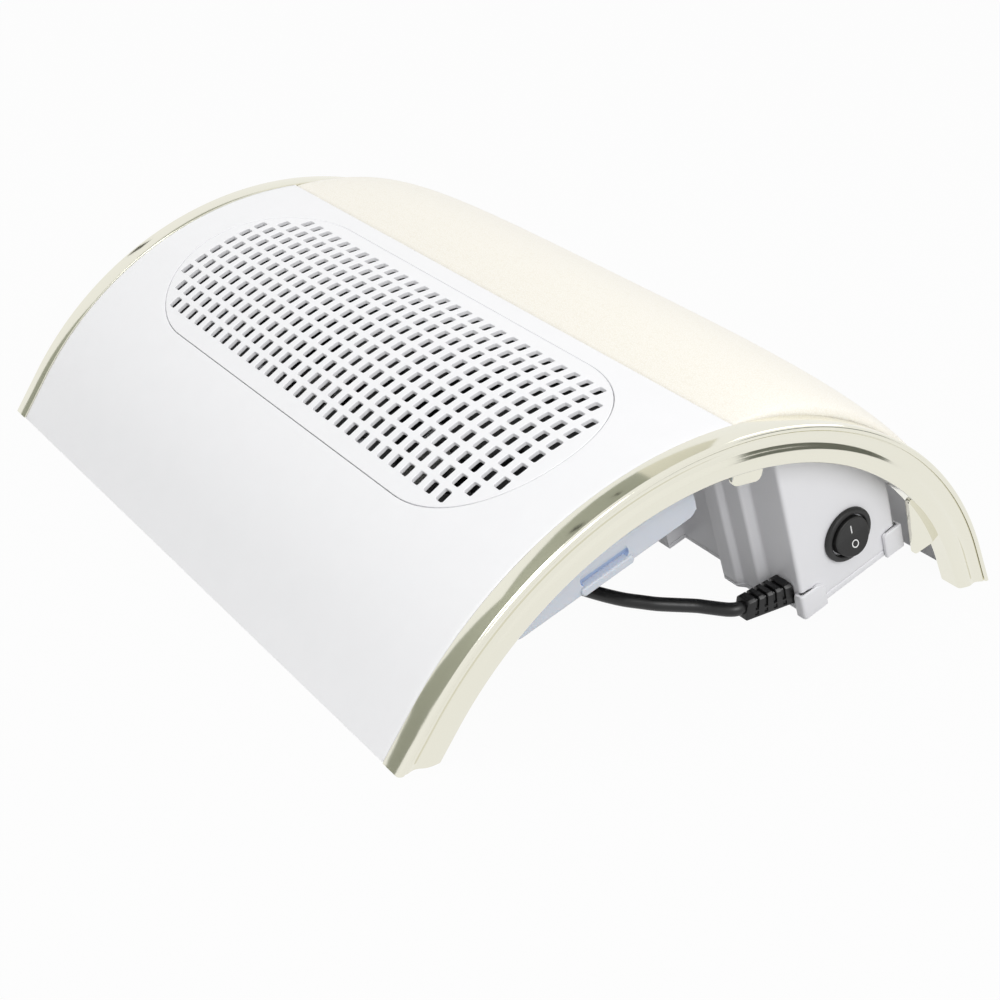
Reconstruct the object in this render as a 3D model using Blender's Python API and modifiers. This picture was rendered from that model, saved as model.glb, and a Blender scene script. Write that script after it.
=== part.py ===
"""Arched desk-top nail dust collector.

A white arch stands on its two long edges. Its front half holds a stadium-shaped intake grille, its back
half a crowned hand rest. Under the grille hang three fans, a drawer with a filter below them, and a
control box with the switch at the right rear. Everything under the arch shares one tilted frame.

Lengths are in metres and +Z is up. X runs along the arch to the end with the switch, and Y from front to
back. "along" is a distance round the arch's outer surface from its crown, positive to the back.
In the tilted frame, u runs from front to back and n points away from the arch's own axis.
"""
import math

import bmesh
import bpy
import numpy as np
from mathutils import Matrix, Vector

MM = 0.001

# Arch
LENGTH = 332.5 * MM
SPAN = 285 * MM
LEG_SHARE = 0.0725931
LEG_ANGLE = math.radians(60)
ARCH_STEPS = 24
STATION_SHARE = 0.35
TILT = math.radians(22.6)

# Fits
GAP = 0.3 * MM
TOP_GAP = 0.45 * MM
OVERRUN = 6 * MM
SHORT_OVERRUN = 1.5 * MM
WELD = 0.005 * MM
SHARP_ANGLE = math.radians(32)

# Shell
SHELL_WALL = 3 * MM
PAD_RECESS = 3 * MM
PAD_FRONT = -4.6 * MM
PAD_FOOT = 6.7 * MM
STEP_SLOPE = 0.25 * MM
WALL_CHANGE = 8 * MM
WALL_CHANGE_SET = 2 * MM

# End trims
TRIM_BAND = 9.9 * MM
TRIM_PROUD = 0.3 * MM
TRIM_SKIN = 1.6 * MM
TRIM_DEPTH = 15 * MM
TRIM_LIP = 10.5 * MM
TRIM_ROUND = 1.4 * MM
TRIM_CORNER = 0.42 * MM
BEAD_WIDTH = 2.3 * MM
BEAD_STEP = 0.5 * MM
EAR_THICKNESS = 2.4 * MM
EAR_SET = 5 * MM
EAR_STEPS = 4
CROWN_EAR = {"turn": math.radians(0.3), "width": 14 * MM, "reach": 6.9 * MM, "round": 4.5 * MM}
REAR_EAR = {"turn": math.radians(46.8), "width": 29 * MM, "reach": 11.8 * MM, "round": 9 * MM}

# Grille
GRILLE_TURN = math.radians(23.05)
GRILLE_END_SET = 34.95 * MM
GRILLE_WIDTH = 89 * MM
GRILLE_THICKNESS = 1.7 * MM
GRILLE_LEDGE = 4.5 * MM
FIELD_SET = 2 * MM
FIELD_EDGE = 0.9 * MM
ROW_SET = 5 * MM
COLUMN_SET = 4.9 * MM
HOLE_SHARES = (0.5443, 0.7595)
HOLE_ROWS = 10
HOLE_COLUMNS = 32
LINE_MATCH = 0.03 * MM
STADIUM_STEPS = 14

# Hand rest
PAD_CROWN = 10.8 * MM
PAD_RINGS = 14
PAD_POINTS = 13
PAD_PEAK_SHARE = 0.525
PAD_SWELL_SHARE = 2.04
PAD_SIDE_SHARES = (3.7, 0.39)

# Fan housing
HOUSING_WALL = 1.5 * MM
HOUSING_FLOOR = 1.1 * MM
HOUSING_END_SET = 32.25 * MM
FAN_END_ROOM = 9.5 * MM
FAN_FRONT_ROOM = 8.5 * MM
FAN_BACK_ROOM = 0.5 * MM
FAN_PLACES = (-1, 0, 1)
FAN_WIDTH_SHARE = 0.524246
FAN_SPACE = 2 * MM
FAN_THICKNESS = 15 * MM
FAN_CLEARANCE = 0.953 * MM
FAN_RIM = 2.2 * MM
FAN_CORNER = 3 * MM
FAN_HOLE_SET = 4.25 * MM
FAN_HOLE = 2.2 * MM
FAN_BASE = 2 * MM
FAN_HUB = 16.5 * MM
FAN_CUP_WALL = 1.5 * MM
FAN_CUP_HEIGHT = 10.5 * MM
FAN_BLADES = 7
BLADE_TIP_CLEARANCE = 1 * MM
BLADE_CHORD = 15 * MM
BLADE_THICKNESS = 1.2 * MM
BLADE_PITCH = math.radians(38)
BLADE_SHARES = (0, 1)
BLADE_TWIST_SHARE = 0.35
BLADE_SPREAD_SHARE = 0.3
BLADE_SWEEP_SHARE = 0.25
STATOR_RADIUS = 13.6 * MM
STATOR_BORE = 1.9 * MM
SHAFT_RADIUS = 1.5 * MM
SPIDER_ARM = 3 * MM
SPIDER_SET = 0.15 * MM
SCREW_RADIUS = 1.5 * MM
SCREW_HEAD = 2.8 * MM
SCREW_HEAD_HEIGHT = 1.6 * MM
SCREW_HEAD_SHARE = 0.75
SCREW_PILOT = 1.8 * MM
FAN_SINK = 2.4 * MM
FAN_SINK_RADIUS = 3.2 * MM
POST_RADIUS = 3.5 * MM
POST_HEIGHT = 12 * MM
POST_SET = 4.4 * MM
SCREW_REACH = 9 * MM

# Drawer and its housing
DRAWER_HEIGHT = 11.6 * MM
DRAWER_FRONT_SET = 3.7 * MM
DRAWER_BACK_SET = 8.15 * MM
DRAWER_SET = 12.75 * MM
DRAWER_PANEL = 3.6 * MM
DRAWER_WALL = 1.3 * MM
DRAWER_FLOOR = 1.2 * MM
DRAWER_LEFT = 4 * MM
PANEL_ROUND = 4.6 * MM
GRIP_LENGTH = 23.4 * MM
GRIP_SHIFT = 2.2 * MM
GRIP_REACH = 1.2 * MM
GRIP_LIP = 3.6 * MM
GRIP_DROP = 0.2 * MM
GRIP_MARGIN = 0.9 * MM
GRIP_HEIGHT = 6 * MM
GRIP_DEPTH = 2.2 * MM
POCKET_ROUND = 2 * MM
FILTER_THICKNESS = 2 * MM
FILTER_MARGIN = 1 * MM
SLOT_LENGTH = 12 * MM
SLOT_WIDTH = 30 * MM
SLOT_SET = 3 * MM
SLOT_COUNT = 10
TROUGH_FLOOR = 1.1 * MM

# Control box
BOX_SET = 12.75 * MM
BOX_LENGTH = 41 * MM
BOX_WIDTH_SHARES = (0.457405, 0.786370)
BOX_CLEARANCE = 1.584 * MM
BOX_PLATE = 2.9 * MM
BOX_WALL = 2.2 * MM
FIRST_RIB_SET = 20.5 * MM
FIRST_RIB_STEP = 4 * MM
SECOND_RIB_SET = 32 * MM
SECOND_RIB_STEP = 2.5 * MM
RIB_SLOPE = 2 * MM
LUG_LENGTH = 3 * MM
LUG_WIDTHS = (10.5 * MM, 7.5 * MM)
LUG_HEIGHT = 11.6 * MM
LUG_PROUD = 1.6 * MM
LUG_DROP = 0.2 * MM
LUG_ROUND = 3 * MM
PLATE_CLEARANCE = 0.4 * MM

# Rear housing
REAR_LENGTH = 176.5 * MM
REAR_FRONT_SET = 3.8 * MM
REAR_BACK_SET = 4 * MM
REAR_RISE = 7.1 * MM
REAR_NOSE_SET = 24.5 * MM
REAR_NOSE = 8.5 * MM
REAR_COVER = 1.8 * MM

# Switch
SWITCH_RISE = 24.1 * MM
SWITCH_SHIFT = 1.1 * MM
BEZEL_RADIUS = 11.5 * MM
BEZEL_PROUD = 1.9 * MM
BEZEL_ROUND = 0.855 * MM
BARREL_RADIUS = 9.8 * MM
BARREL_BORE = 9 * MM
BARREL_LENGTH = 11 * MM
ROCKER_RADIUS = 8.2 * MM
ROCKER_TOP = 4.5 * MM
ROCKER_DIP = 1.1 * MM
ROCKER_FLAT = 1.64 * MM
ROCKER_DEPTH = 2.2 * MM
ROCKER_TILT = math.radians(9)
ROCKER_PIN = 0.8 * MM
SWITCH_BODY_DEPTH = 7 * MM
SWITCH_BODY_WIDTH = 13 * MM
TERMINAL = (7.5 * MM, 4.8 * MM, 0.8 * MM)
TERMINAL_SPACING = 7 * MM

# Supply inside the rear housing
BOARD_LENGTH = 92 * MM
BOARD_THICKNESS = 1.6 * MM
BOARD_STAND = 4 * MM
BOARD_MARGIN = 8 * MM
TRANSFORMER_SIZE = (26 * MM, 22 * MM, 19 * MM)
CAPACITOR_RADIUS = 5 * MM
CAPACITOR_HEIGHT = 16 * MM
CAPACITOR_SPACING = 15 * MM
CAPACITOR_COUNT = 2
STAND_RADIUS = 3 * MM
STAND_SET = 4.5 * MM
LEAD_RADIUS = 0.9 * MM
LEAD_HOLE = 1.4 * MM
LEAD_BEND = 8.4 * MM
LEAD_FOOT_SET = 4 * MM
LEAD_DROPS = (12 * MM, 36 * MM)
FAN_LEAD_SET = 13.8 * MM
FAN_LEAD_RISE = 1.3 * MM
SWITCH_LEAD_SET = 2.8 * MM

# Strain relief and mains lead
CORD_RADIUS = 2.8 * MM
RELIEF_SET = 8.8 * MM
RELIEF_RISE = 10.1 * MM
NECK_RADIUS = 4.3 * MM
NECK_REACH = 1.5 * MM
NECK_FLANGE = 5.8 * MM
RELIEF_ROOT = (5.1 * MM, 4.8 * MM)
RELIEF_TIP = (3.6 * MM, 4.2 * MM)
RELIEF_CHAMFER = 1.1 * MM
RELIEF_SPINE = -1 * MM
RELIEF_FIRST_SLOT = 3.5 * MM
RELIEF_PITCH = 3.75 * MM
RELIEF_SLOT = 1.4 * MM
RELIEF_SLOTS = 4
RELIEF_GROOVE = 1.2 * MM
RELIEF_EDGE = 0.2 * MM
RELIEF_DROOP = (-4.16 * MM, -18.5 * MM, -6.3 * MM)

# Where the lead passes from the relief to the coil: its shares of the way along X and Y, and its height
CORD_SHARES = [
    (0.0046, 0.0322, 4.35 * MM), (0.0159, 0.0500, 4 * MM), (0.0330, 0.0697, 3.7 * MM),
    (0.0565, 0.0954, 3.35 * MM), (0.0814, 0.1290, 3.15 * MM), (0.1120, 0.1922, 3.1 * MM),
    (0.1412, 0.2524, 3.1 * MM), (0.1711, 0.2978, 3.1 * MM), (0.2009, 0.3413, 3.1 * MM),
    (0.2315, 0.3739, 3.1 * MM), (0.2643, 0.4025, 3.1 * MM), (0.3041, 0.4322, 3.1 * MM),
    (0.3482, 0.4598, 3.1 * MM), (0.3987, 0.4944, 3.1 * MM), (0.4521, 0.5378, 3.1 * MM),
    (0.5090, 0.5912, 3.1 * MM), (0.5660, 0.6524, 3.1 * MM), (0.6229, 0.7195, 3.1 * MM),
    (0.6798, 0.7887, 3.1 * MM), (0.7332, 0.8519, 3.1 * MM), (0.7830, 0.9072, 3.3 * MM),
    (0.8257, 0.9496, 3.6 * MM), (0.8648, 0.9812, 3.9 * MM), (0.9039, 0.9985, 4.1 * MM),
]
COIL_CENTRE = (0, -30 * MM)
COIL_RADIUS = 43 * MM
COIL_PITCH = 6.1 * MM
COIL_LIFT = 0.6 * MM
COIL_LAYER_TURNS = 3
COIL_POINTS_PER_TURN = 24
COIL_TAIL = [
    (-8 * MM, 0, 0), (-15 * MM, -0.4 * MM, -0.2 * MM), (-22 * MM, -1.4 * MM, -0.9 * MM),
    (-29 * MM, -2.3 * MM, -2 * MM), (-36 * MM, -2.6 * MM, -2.8 * MM), (-43 * MM, -2.6 * MM, -3 * MM),
    (-49 * MM, -2.6 * MM, -3 * MM),
]
TIE_THICKNESS = 0.7 * MM
TIE_WIDTH = 6 * MM
TIE_CLEARANCE = 0.6 * MM
PLUG_LENGTH = 36 * MM
PLUG_WIDTH = 26 * MM
PLUG_HEIGHT = 13.7 * MM
PLUG_SHARES = ((0, 0.5, 0.6), (0.2, 0.55, 0.66), (0.35, 0.9, 0.9), (0.5, 1, 1), (0.94, 1, 1), (1, 0.94, 0.92))
PLUG_CORNER_SHARE = 0.5
PIN_RADIUS = 2 * MM
PIN_LENGTH = 19 * MM
PIN_SPACING = 18.6 * MM

# Arch and shell, from the sizes above
LEG_LENGTH = SPAN * LEG_SHARE
ARCH_RADIUS = (SPAN / 2 - LEG_LENGTH * math.cos(LEG_ANGLE)) / math.sin(LEG_ANGLE)
DROP = ARCH_RADIUS * math.cos(LEG_ANGLE) - LEG_LENGTH * math.sin(LEG_ANGLE)
END = LENGTH / 2
ARC_REACH = ARCH_RADIUS * LEG_ANGLE
FULL_REACH = ARC_REACH + LEG_LENGTH
FRONT_INNER = ARCH_RADIUS - SHELL_WALL
BACK_OUTER = ARCH_RADIUS - PAD_RECESS
BACK_INNER = BACK_OUTER - SHELL_WALL
BAND_OUTER = ARCH_RADIUS + TRIM_PROUD
BAND_INNER = BAND_OUTER - TRIM_SKIN
RIM_OUTER = BAND_INNER - GAP
RIM_END = END - BEAD_STEP - TRIM_SKIN - GAP
BAND_END = END - TRIM_BAND
SHELL_END = BAND_END - GAP
LIP_INNER = ARCH_RADIUS - TRIM_DEPTH

# Grille
GRILLE_LENGTH = LENGTH - 2 * GRILLE_END_SET
GRILLE_STRAIGHT = (GRILLE_LENGTH - GRILLE_WIDTH) / 2
GRILLE_FIELD = GRILLE_WIDTH - 2 * FIELD_SET
ROW_PITCH = (GRILLE_WIDTH - 2 * ROW_SET) / HOLE_ROWS
COLUMN_PITCH = (GRILLE_LENGTH - 2 * COLUMN_SET) / HOLE_COLUMNS
ROW_LINES = [ROW_PITCH * (i - HOLE_ROWS / 2) for i in range(HOLE_ROWS + 1)]

# Fans and drawer, from the shell's inner face down
HOUSING_LENGTH = LENGTH - 2 * HOUSING_END_SET
FAN_SPACING = (HOUSING_LENGTH - 2 * (HOUSING_WALL + FAN_END_ROOM)) / len(FAN_PLACES)
FAN_LENGTH = FAN_SPACING - FAN_SPACE
FAN_WIDTH = ARCH_RADIUS * FAN_WIDTH_SHARE
FAN_BORE = min(FAN_LENGTH, FAN_WIDTH) / 2 - FAN_RIM
FAN_HOLE_X = FAN_LENGTH / 2 - FAN_HOLE_SET
FAN_HOLE_U = FAN_WIDTH / 2 - FAN_HOLE_SET
FAN_TOP = math.sqrt(FRONT_INNER ** 2 - (FAN_WIDTH / 2) ** 2) - FAN_CLEARANCE
FAN_BOTTOM = FAN_TOP - FAN_THICKNESS
HOUSING_FRONT = -FAN_WIDTH / 2 - FAN_FRONT_ROOM - HOUSING_WALL
HOUSING_BACK = FAN_WIDTH / 2 + FAN_BACK_ROOM + HOUSING_WALL
HOUSING_BOTTOM = FAN_BOTTOM - GAP - HOUSING_FLOOR
DRAWER_TOP = HOUSING_BOTTOM - GAP
DRAWER_BOTTOM = DRAWER_TOP - DRAWER_HEIGHT
DRAWER_FRONT = HOUSING_FRONT + DRAWER_FRONT_SET
DRAWER_BACK = HOUSING_BACK - DRAWER_BACK_SET
DRAWER_END = END - DRAWER_SET
DRAWER_MIDDLE = (DRAWER_FRONT + DRAWER_BACK) / 2
GRIP_MIDDLE = DRAWER_MIDDLE - GRIP_SHIFT

# Control box and rear housing, from the table up
BOX_END = END - BOX_SET
BOX_START = BOX_END - BOX_LENGTH
BOX_FRONT, BOX_BACK = (ARCH_RADIUS * share for share in BOX_WIDTH_SHARES)
BOX_BOTTOM = (DROP + BOX_CLEARANCE - BOX_FRONT * math.sin(TILT)) / math.cos(TILT)
REAR_FRONT = BOX_FRONT - REAR_FRONT_SET
REAR_BACK = BOX_BACK - REAR_BACK_SET
REAR_BOTTOM = BOX_BOTTOM + REAR_RISE
REAR_RIGHT = BOX_START - GAP
REAR_LEFT = REAR_RIGHT - REAR_LENGTH
BOARD_RIGHT = REAR_RIGHT - HOUSING_WALL - BOARD_MARGIN
BOARD_LEFT = BOARD_RIGHT - BOARD_LENGTH
BOARD_LOW = REAR_BOTTOM + REAR_COVER + GAP + BOARD_STAND
FAN_LEAD_X = BOARD_LEFT + FAN_LEAD_SET
FAN_LEAD_N = FAN_BOTTOM + FAN_LEAD_RISE
SWITCH_U = (BOX_FRONT + BOX_BACK) / 2 + SWITCH_SHIFT
SWITCH_N = BOX_BOTTOM + SWITCH_RISE
SWITCH_FACE = BOX_END + GAP
TERMINAL_END = SWITCH_FACE - BARREL_LENGTH - GAP - SWITCH_BODY_DEPTH - GAP
LEAD_N = SWITCH_N - TERMINAL_SPACING / 2
COIL_HEIGHT = CORD_RADIUS + COIL_LIFT + TIE_THICKNESS

# Frames
TILTED_FRAME = Matrix.Translation((0, 0, -DROP)) @ Matrix.Rotation(TILT, 4, "X")
GRILLE_FRAME = Matrix.Translation((0, 0, -DROP)) @ Matrix.Rotation(GRILLE_TURN, 4, "X")
ALONG_X = Matrix(((0, 0, 1, 0), (1, 0, 0, 0), (0, 1, 0, 0), (0, 0, 0, 1)))
ALONG_U = Matrix(((1, 0, 0, 0), (0, 0, -1, 0), (0, 1, 0, 0), (0, 0, 0, 1)))
ALONG_N = Matrix.Identity(4)

parts = bpy.data.collections.new("nail_dust_collector")
cutters = bpy.data.collections.new("cutters")


def clear_scene():
    for item in list(bpy.data.objects):
        bpy.data.objects.remove(item)
    for collection in (parts, cutters):
        bpy.context.scene.collection.children.link(collection)


def finish(name, colour, roughness, metallic=0.0):
    """A Principled material. The colour is linear."""
    material = bpy.data.materials.new(name)
    material.use_nodes = True
    shader = material.node_tree.nodes["Principled BSDF"]
    shader.inputs["Base Color"].default_value = (*colour, 1.0)
    shader.inputs["Roughness"].default_value = roughness
    shader.inputs["Metallic"].default_value = metallic
    material.diffuse_color = (*colour, 1.0)
    return material


def place(mesh, name, material=None, parent=None, location=(0, 0, 0), rotation=(0, 0, 0)):
    """Makes an object from a mesh: a part where a material is given, and a cutter where none is."""
    item = bpy.data.objects.new(name, mesh)
    item.location = location
    item.rotation_euler = rotation
    item.parent = parent
    if material:
        mesh.materials.append(material)
        mesh.shade_smooth()
        mesh.set_sharp_from_angle(angle=SHARP_ANGLE)
        parts.objects.link(item)
    else:
        item.hide_render = True
        item.display_type = "WIRE"
        cutters.objects.link(item)
    return item


def mesh_from(build, name):
    """A mesh that build, a function of a bmesh, fills."""
    mesh = bpy.data.meshes.new(name)
    shape = bmesh.new()
    build(shape)
    bmesh.ops.recalc_face_normals(shape, faces=shape.faces)
    shape.to_mesh(mesh)
    shape.free()
    return mesh


def block(*boxes):
    """A mesh of boxes, each from its low corner to its high corner."""
    def build(shape):
        for low, high in boxes:
            low, high = Vector(low), Vector(high)
            size = Matrix.Diagonal((*(high - low), 1.0))
            bmesh.ops.create_cube(shape, size=1.0, matrix=Matrix.Translation((low + high) / 2) @ size)
    return mesh_from(build, "block")


def rod(radius, start, end, sides=24, end_radius=None):
    """A mesh of one cylinder or cone between two points."""
    start, end = Vector(start), Vector(end)
    turn = (end - start).to_track_quat("Z", "Y").to_matrix().to_4x4()
    centre = Matrix.Translation((start + end) / 2)
    last = radius if end_radius is None else end_radius

    def build(shape):
        bmesh.ops.create_cone(shape, cap_ends=True, segments=sides, radius1=radius, radius2=last,
                              depth=(end - start).length, matrix=centre @ turn)
    return mesh_from(build, "rod")


def merged(*meshes):
    """One mesh of several that don't touch."""
    def build(shape):
        for mesh in meshes:
            shape.from_mesh(mesh)
    return mesh_from(build, "merged")


def curve_mesh(curve, name):
    """The closed mesh of a curve's bevel or extrusion, with its caps welded on."""
    holder = bpy.data.objects.new(name, curve)
    cutters.objects.link(holder)
    bpy.context.view_layer.update()
    seen = holder.evaluated_get(bpy.context.evaluated_depsgraph_get())
    mesh = bpy.data.meshes.new_from_object(seen)
    bpy.data.objects.remove(holder)

    def build(shape):
        shape.from_mesh(mesh)
        bmesh.ops.remove_doubles(shape, verts=shape.verts, dist=WELD)
    return mesh_from(build, name)


def plate(outline, low, high, direction=ALONG_N, holes=()):
    """A flat outline with thickness, from low to high along a direction.
    The outline is in (x, u) along n, in (u, n) along X, and in (x, n) along u."""
    curve = bpy.data.curves.new("outline", "CURVE")
    curve.dimensions = "2D"
    curve.fill_mode = "BOTH"
    curve.extrude = (high - low) / 2
    for points in (outline, *holes):
        spline = curve.splines.new("POLY")
        spline.points.add(len(points) - 1)
        spline.use_cyclic_u = True
        for point, (a, b) in zip(spline.points, points):
            point.co = (a, b, 0, 1)
    mesh = curve_mesh(curve, "plate")
    middle = (high + low) / 2
    mesh.transform(direction @ Matrix.Translation((0, 0, -middle if direction is ALONG_U else middle)))
    return mesh


def tube(points, radius, resolution):
    """A round tube along a list of points, with flat ends."""
    curve = bpy.data.curves.new("tube", "CURVE")
    curve.dimensions = "3D"
    curve.bevel_depth = radius
    curve.bevel_resolution = resolution
    curve.use_fill_caps = True
    spline = curve.splines.new("POLY")
    spline.points.add(len(points) - 1)
    for point, place_at in zip(spline.points, points):
        point.co = (*place_at, 1)
    return curve_mesh(curve, "tube")


def turned(profile, steps, name):
    """A solid of revolution about Z. The profile is (radius, height) pairs, from top to bottom, and both of
    its ends lie on the axis or it closes on itself."""
    mesh = bpy.data.meshes.new(name)
    closed = profile[0][0] > 0
    edges = [(i, i + 1) for i in range(len(profile) - 1)]
    if closed:
        edges.append((len(profile) - 1, 0))
    mesh.from_pydata([(radius, 0, height) for radius, height in profile], edges, [])
    holder = bpy.data.objects.new(name, mesh)
    cutters.objects.link(holder)
    screw = holder.modifiers.new("screw", "SCREW")
    screw.steps = screw.render_steps = steps
    screw.use_merge_vertices = True
    screw.merge_threshold = WELD
    bpy.context.view_layer.update()
    spun = bpy.data.meshes.new_from_object(holder.evaluated_get(bpy.context.evaluated_depsgraph_get()))
    bpy.data.objects.remove(holder)

    def build(shape):
        shape.from_mesh(spun)
        bmesh.ops.remove_doubles(shape, verts=shape.verts, dist=WELD)
    return mesh_from(build, name)


def combine(target, tools, operation="DIFFERENCE"):
    """Cuts target by each tool, or joins or crosses it with it. A tool is a mesh in the target's own frame."""
    for tool in tools:
        cutter = place(tool, f"{target.name}_cutter", parent=target)
        change = target.modifiers.new("combine", "BOOLEAN")
        change.operation = operation
        change.solver = "EXACT"
        change.object = cutter
    return target


def settle(target):
    """Replaces an object's mesh by its evaluated one, so that it can be a tool itself."""
    bpy.context.view_layer.update()
    seen = target.evaluated_get(bpy.context.evaluated_depsgraph_get())
    mesh = bpy.data.meshes.new_from_object(seen)
    target.modifiers.clear()
    target.data = mesh
    return mesh


def crossed(first, second):
    """The mesh that two meshes share."""
    holder = place(first, "crossed")
    combine(holder, [second], "INTERSECT")
    mesh = settle(holder)
    for child in list(holder.children):
        bpy.data.objects.remove(child)
    bpy.data.objects.remove(holder)
    return mesh


def arch_point(x, radius, along):
    """A point at a radius from the arch's axis. Past the arc it lies on the straight leg, down to the floor."""
    side = math.copysign(1, along)
    turn = max(-LEG_ANGLE, min(LEG_ANGLE, along / ARCH_RADIUS))
    most = (radius * math.cos(LEG_ANGLE) - DROP) / math.sin(LEG_ANGLE)
    leg = min(max(abs(along) - ARC_REACH, 0), most)
    return (x, radius * math.sin(turn) + side * leg * math.cos(LEG_ANGLE),
            radius * math.cos(turn) - DROP - leg * math.sin(LEG_ANGLE))


def loft(rings, name):
    """A closed solid through rings of as many points each, with a flat cap at either end."""
    def build(shape):
        rows = [[shape.verts.new(point) for point in ring] for ring in rings]
        count = len(rows[0])
        for row, following in zip(rows[:-1], rows[1:]):
            for i in range(count):
                j = (i + 1) % count
                shape.faces.new((row[i], row[j], following[j], following[i]))
        shape.faces.new(rows[0])
        shape.faces.new(rows[-1][::-1])
    return mesh_from(build, name)


def arch_stations(extra=()):
    """Distances along the arch where a section stands: both feet, even steps of the arc, and extra ones."""
    even = [ARC_REACH * (2 * i / ARCH_STEPS - 1) for i in range(ARCH_STEPS + 1)]
    spacing = even[1] - even[0]
    kept = [s for s in even if all(abs(s - other) > spacing * STATION_SHARE for other in extra)]
    return sorted([-FULL_REACH - LEG_LENGTH, *kept, *extra, FULL_REACH + LEG_LENGTH])


def arch_shell(white):
    """The shell's section is a plate with a lower rim at either end for the trims, and it steps down by the
    pad's recess over the back half."""
    step = PAD_FRONT - STEP_SLOPE
    thin = step - WALL_CHANGE_SET
    foot = FULL_REACH - PAD_FOOT
    extra = [thin - WALL_CHANGE, thin, step, PAD_FRONT, foot, foot + STEP_SLOPE]
    rings = []
    for along in arch_stations(extra):
        padded = PAD_FRONT <= along <= foot
        outer = BACK_OUTER if padded else ARCH_RADIUS
        inner = BACK_INNER if along >= thin else FRONT_INNER
        profile = [(-RIM_END, inner), (-RIM_END, RIM_OUTER), (-SHELL_END, RIM_OUTER), (-SHELL_END, outer),
                   (SHELL_END, outer), (SHELL_END, RIM_OUTER), (RIM_END, RIM_OUTER), (RIM_END, inner)]
        rings.append([arch_point(x, radius, along) for x, radius in profile])
    shell = place(loft(rings, "arch_shell"), "arch_shell", white)
    mid = ARCH_RADIUS - GRILLE_THICKNESS - GAP
    recess = crossed(grille_band(mid, ARCH_RADIUS + OVERRUN), stadium(GAP))
    recess.transform(GRILLE_FRAME)
    opening = stadium(-GRILLE_LEDGE)
    opening.transform(GRILLE_FRAME)
    return combine(shell, [recess, opening])


def stadium(margin):
    """The grille's outline, grown by a margin, through the shell."""
    radius = GRILLE_WIDTH / 2 + margin
    outline = [(x, ARCH_RADIUS * math.sin(across / ARCH_RADIUS)) for x, across in flat_stadium(2 * radius)]
    low = FRONT_INNER * math.cos(radius / ARCH_RADIUS) - OVERRUN
    return plate(outline, low, ARCH_RADIUS + OVERRUN * 2)


def grille_band(inner, outer):
    """A stretch of the arch as wide as the grille, faceted between its rows of holes."""
    side = GRILLE_WIDTH / 2 + OVERRUN
    turns = [along / ARCH_RADIUS for along in (-side, *ROW_LINES, side)]
    outline = [(outer * math.sin(turn), outer * math.cos(turn)) for turn in turns]
    outline += [(inner * math.sin(turn), inner * math.cos(turn)) for turn in reversed(turns)]
    reach = GRILLE_LENGTH / 2 + OVERRUN
    return plate(outline, -reach, reach, ALONG_X)


def clip(polygon, keep):
    """The part of a flat polygon where keep, a linear function of a point, isn't negative."""
    found = []
    for first, second in zip(polygon, polygon[1:] + polygon[:1]):
        a, b = keep(first), keep(second)
        if a >= 0:
            found.append(first)
        if a * b < 0:
            found.append(tuple(p + (q - p) * a / (a - b) for p, q in zip(first, second)))
    return found


def flat_stadium(width):
    """The outline of a stadium round the grille's two centres, in x and distance round the arch."""
    turns = [math.pi * (i / STADIUM_STEPS - 0.5) for i in range(STADIUM_STEPS + 1)]
    right = [(GRILLE_STRAIGHT + width / 2 * math.cos(turn), width / 2 * math.sin(turn)) for turn in turns]
    return right + [(-x, -across) for x, across in right]


def row_holes(across, field):
    """One row of rectangular holes, cut off at the edge of the field."""
    half_x, half_s = COLUMN_PITCH * HOLE_SHARES[0] / 2, ROW_PITCH * HOLE_SHARES[1] / 2
    found = []
    for column in range(HOLE_COLUMNS):
        x = COLUMN_PITCH * (column - (HOLE_COLUMNS - 1) / 2)
        if math.hypot(max(abs(x) - GRILLE_STRAIGHT, 0), across) > GRILLE_FIELD / 2 - FIELD_EDGE:
            continue
        hole = [(x - half_x, across - half_s), (x + half_x, across - half_s), (x + half_x, across + half_s),
                (x - half_x, across + half_s)]
        for (x0, s0), (x1, s1) in zip(field, field[1:] + field[:1]):
            hole = clip(hole, lambda at: (x1 - x0) * (at[1] - s0) - (s1 - s0) * (at[0] - x0))
        found.append(hole)
    return found


def grille_strip(low, high, outline, holes):
    """The stretch of the grille between two lines along it, bent to the arch, and open at the lines inside."""
    strip = clip(clip(outline, lambda at: at[1] - low), lambda at: high - at[1])
    mesh = plate(strip, 0, 1, holes=holes)
    shape = bmesh.new()
    shape.from_mesh(mesh)
    walls = [face for face in shape.faces
             if any(all(abs(vert.co.y - line) < LINE_MATCH for vert in face.verts) for line in ROW_LINES)]
    bmesh.ops.delete(shape, geom=walls, context="FACES_ONLY")
    start, end = low / ARCH_RADIUS, high / ARCH_RADIUS
    for vert in shape.verts:
        share = (vert.co.y - low) / (high - low)
        radius = ARCH_RADIUS - GRILLE_THICKNESS * (1 - vert.co.z)
        vert.co.y = radius * (math.sin(start) * (1 - share) + math.sin(end) * share)
        vert.co.z = radius * (math.cos(start) * (1 - share) + math.cos(end) * share)
    shape.to_mesh(mesh)
    shape.free()
    return mesh


def grille_panel(white):
    """A thin panel, flush with the shell, faceted between its rows of holes."""
    edge = GRILLE_WIDTH / 2
    outline = flat_stadium(GRILLE_WIDTH)
    field = flat_stadium(GRILLE_FIELD)

    def build(shape):
        for low, high in zip([-edge, *ROW_LINES], [*ROW_LINES, edge]):
            across = (low + high) / 2
            holes = row_holes(across, field) if abs(across) < ROW_LINES[-1] else []
            shape.from_mesh(grille_strip(low, high, outline, holes))
        bmesh.ops.remove_doubles(shape, verts=shape.verts, dist=WELD)
    return place(mesh_from(build, "grille_panel"), "grille_panel", white, location=(0, 0, -DROP),
                 rotation=(GRILLE_TURN, 0, 0))


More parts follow.
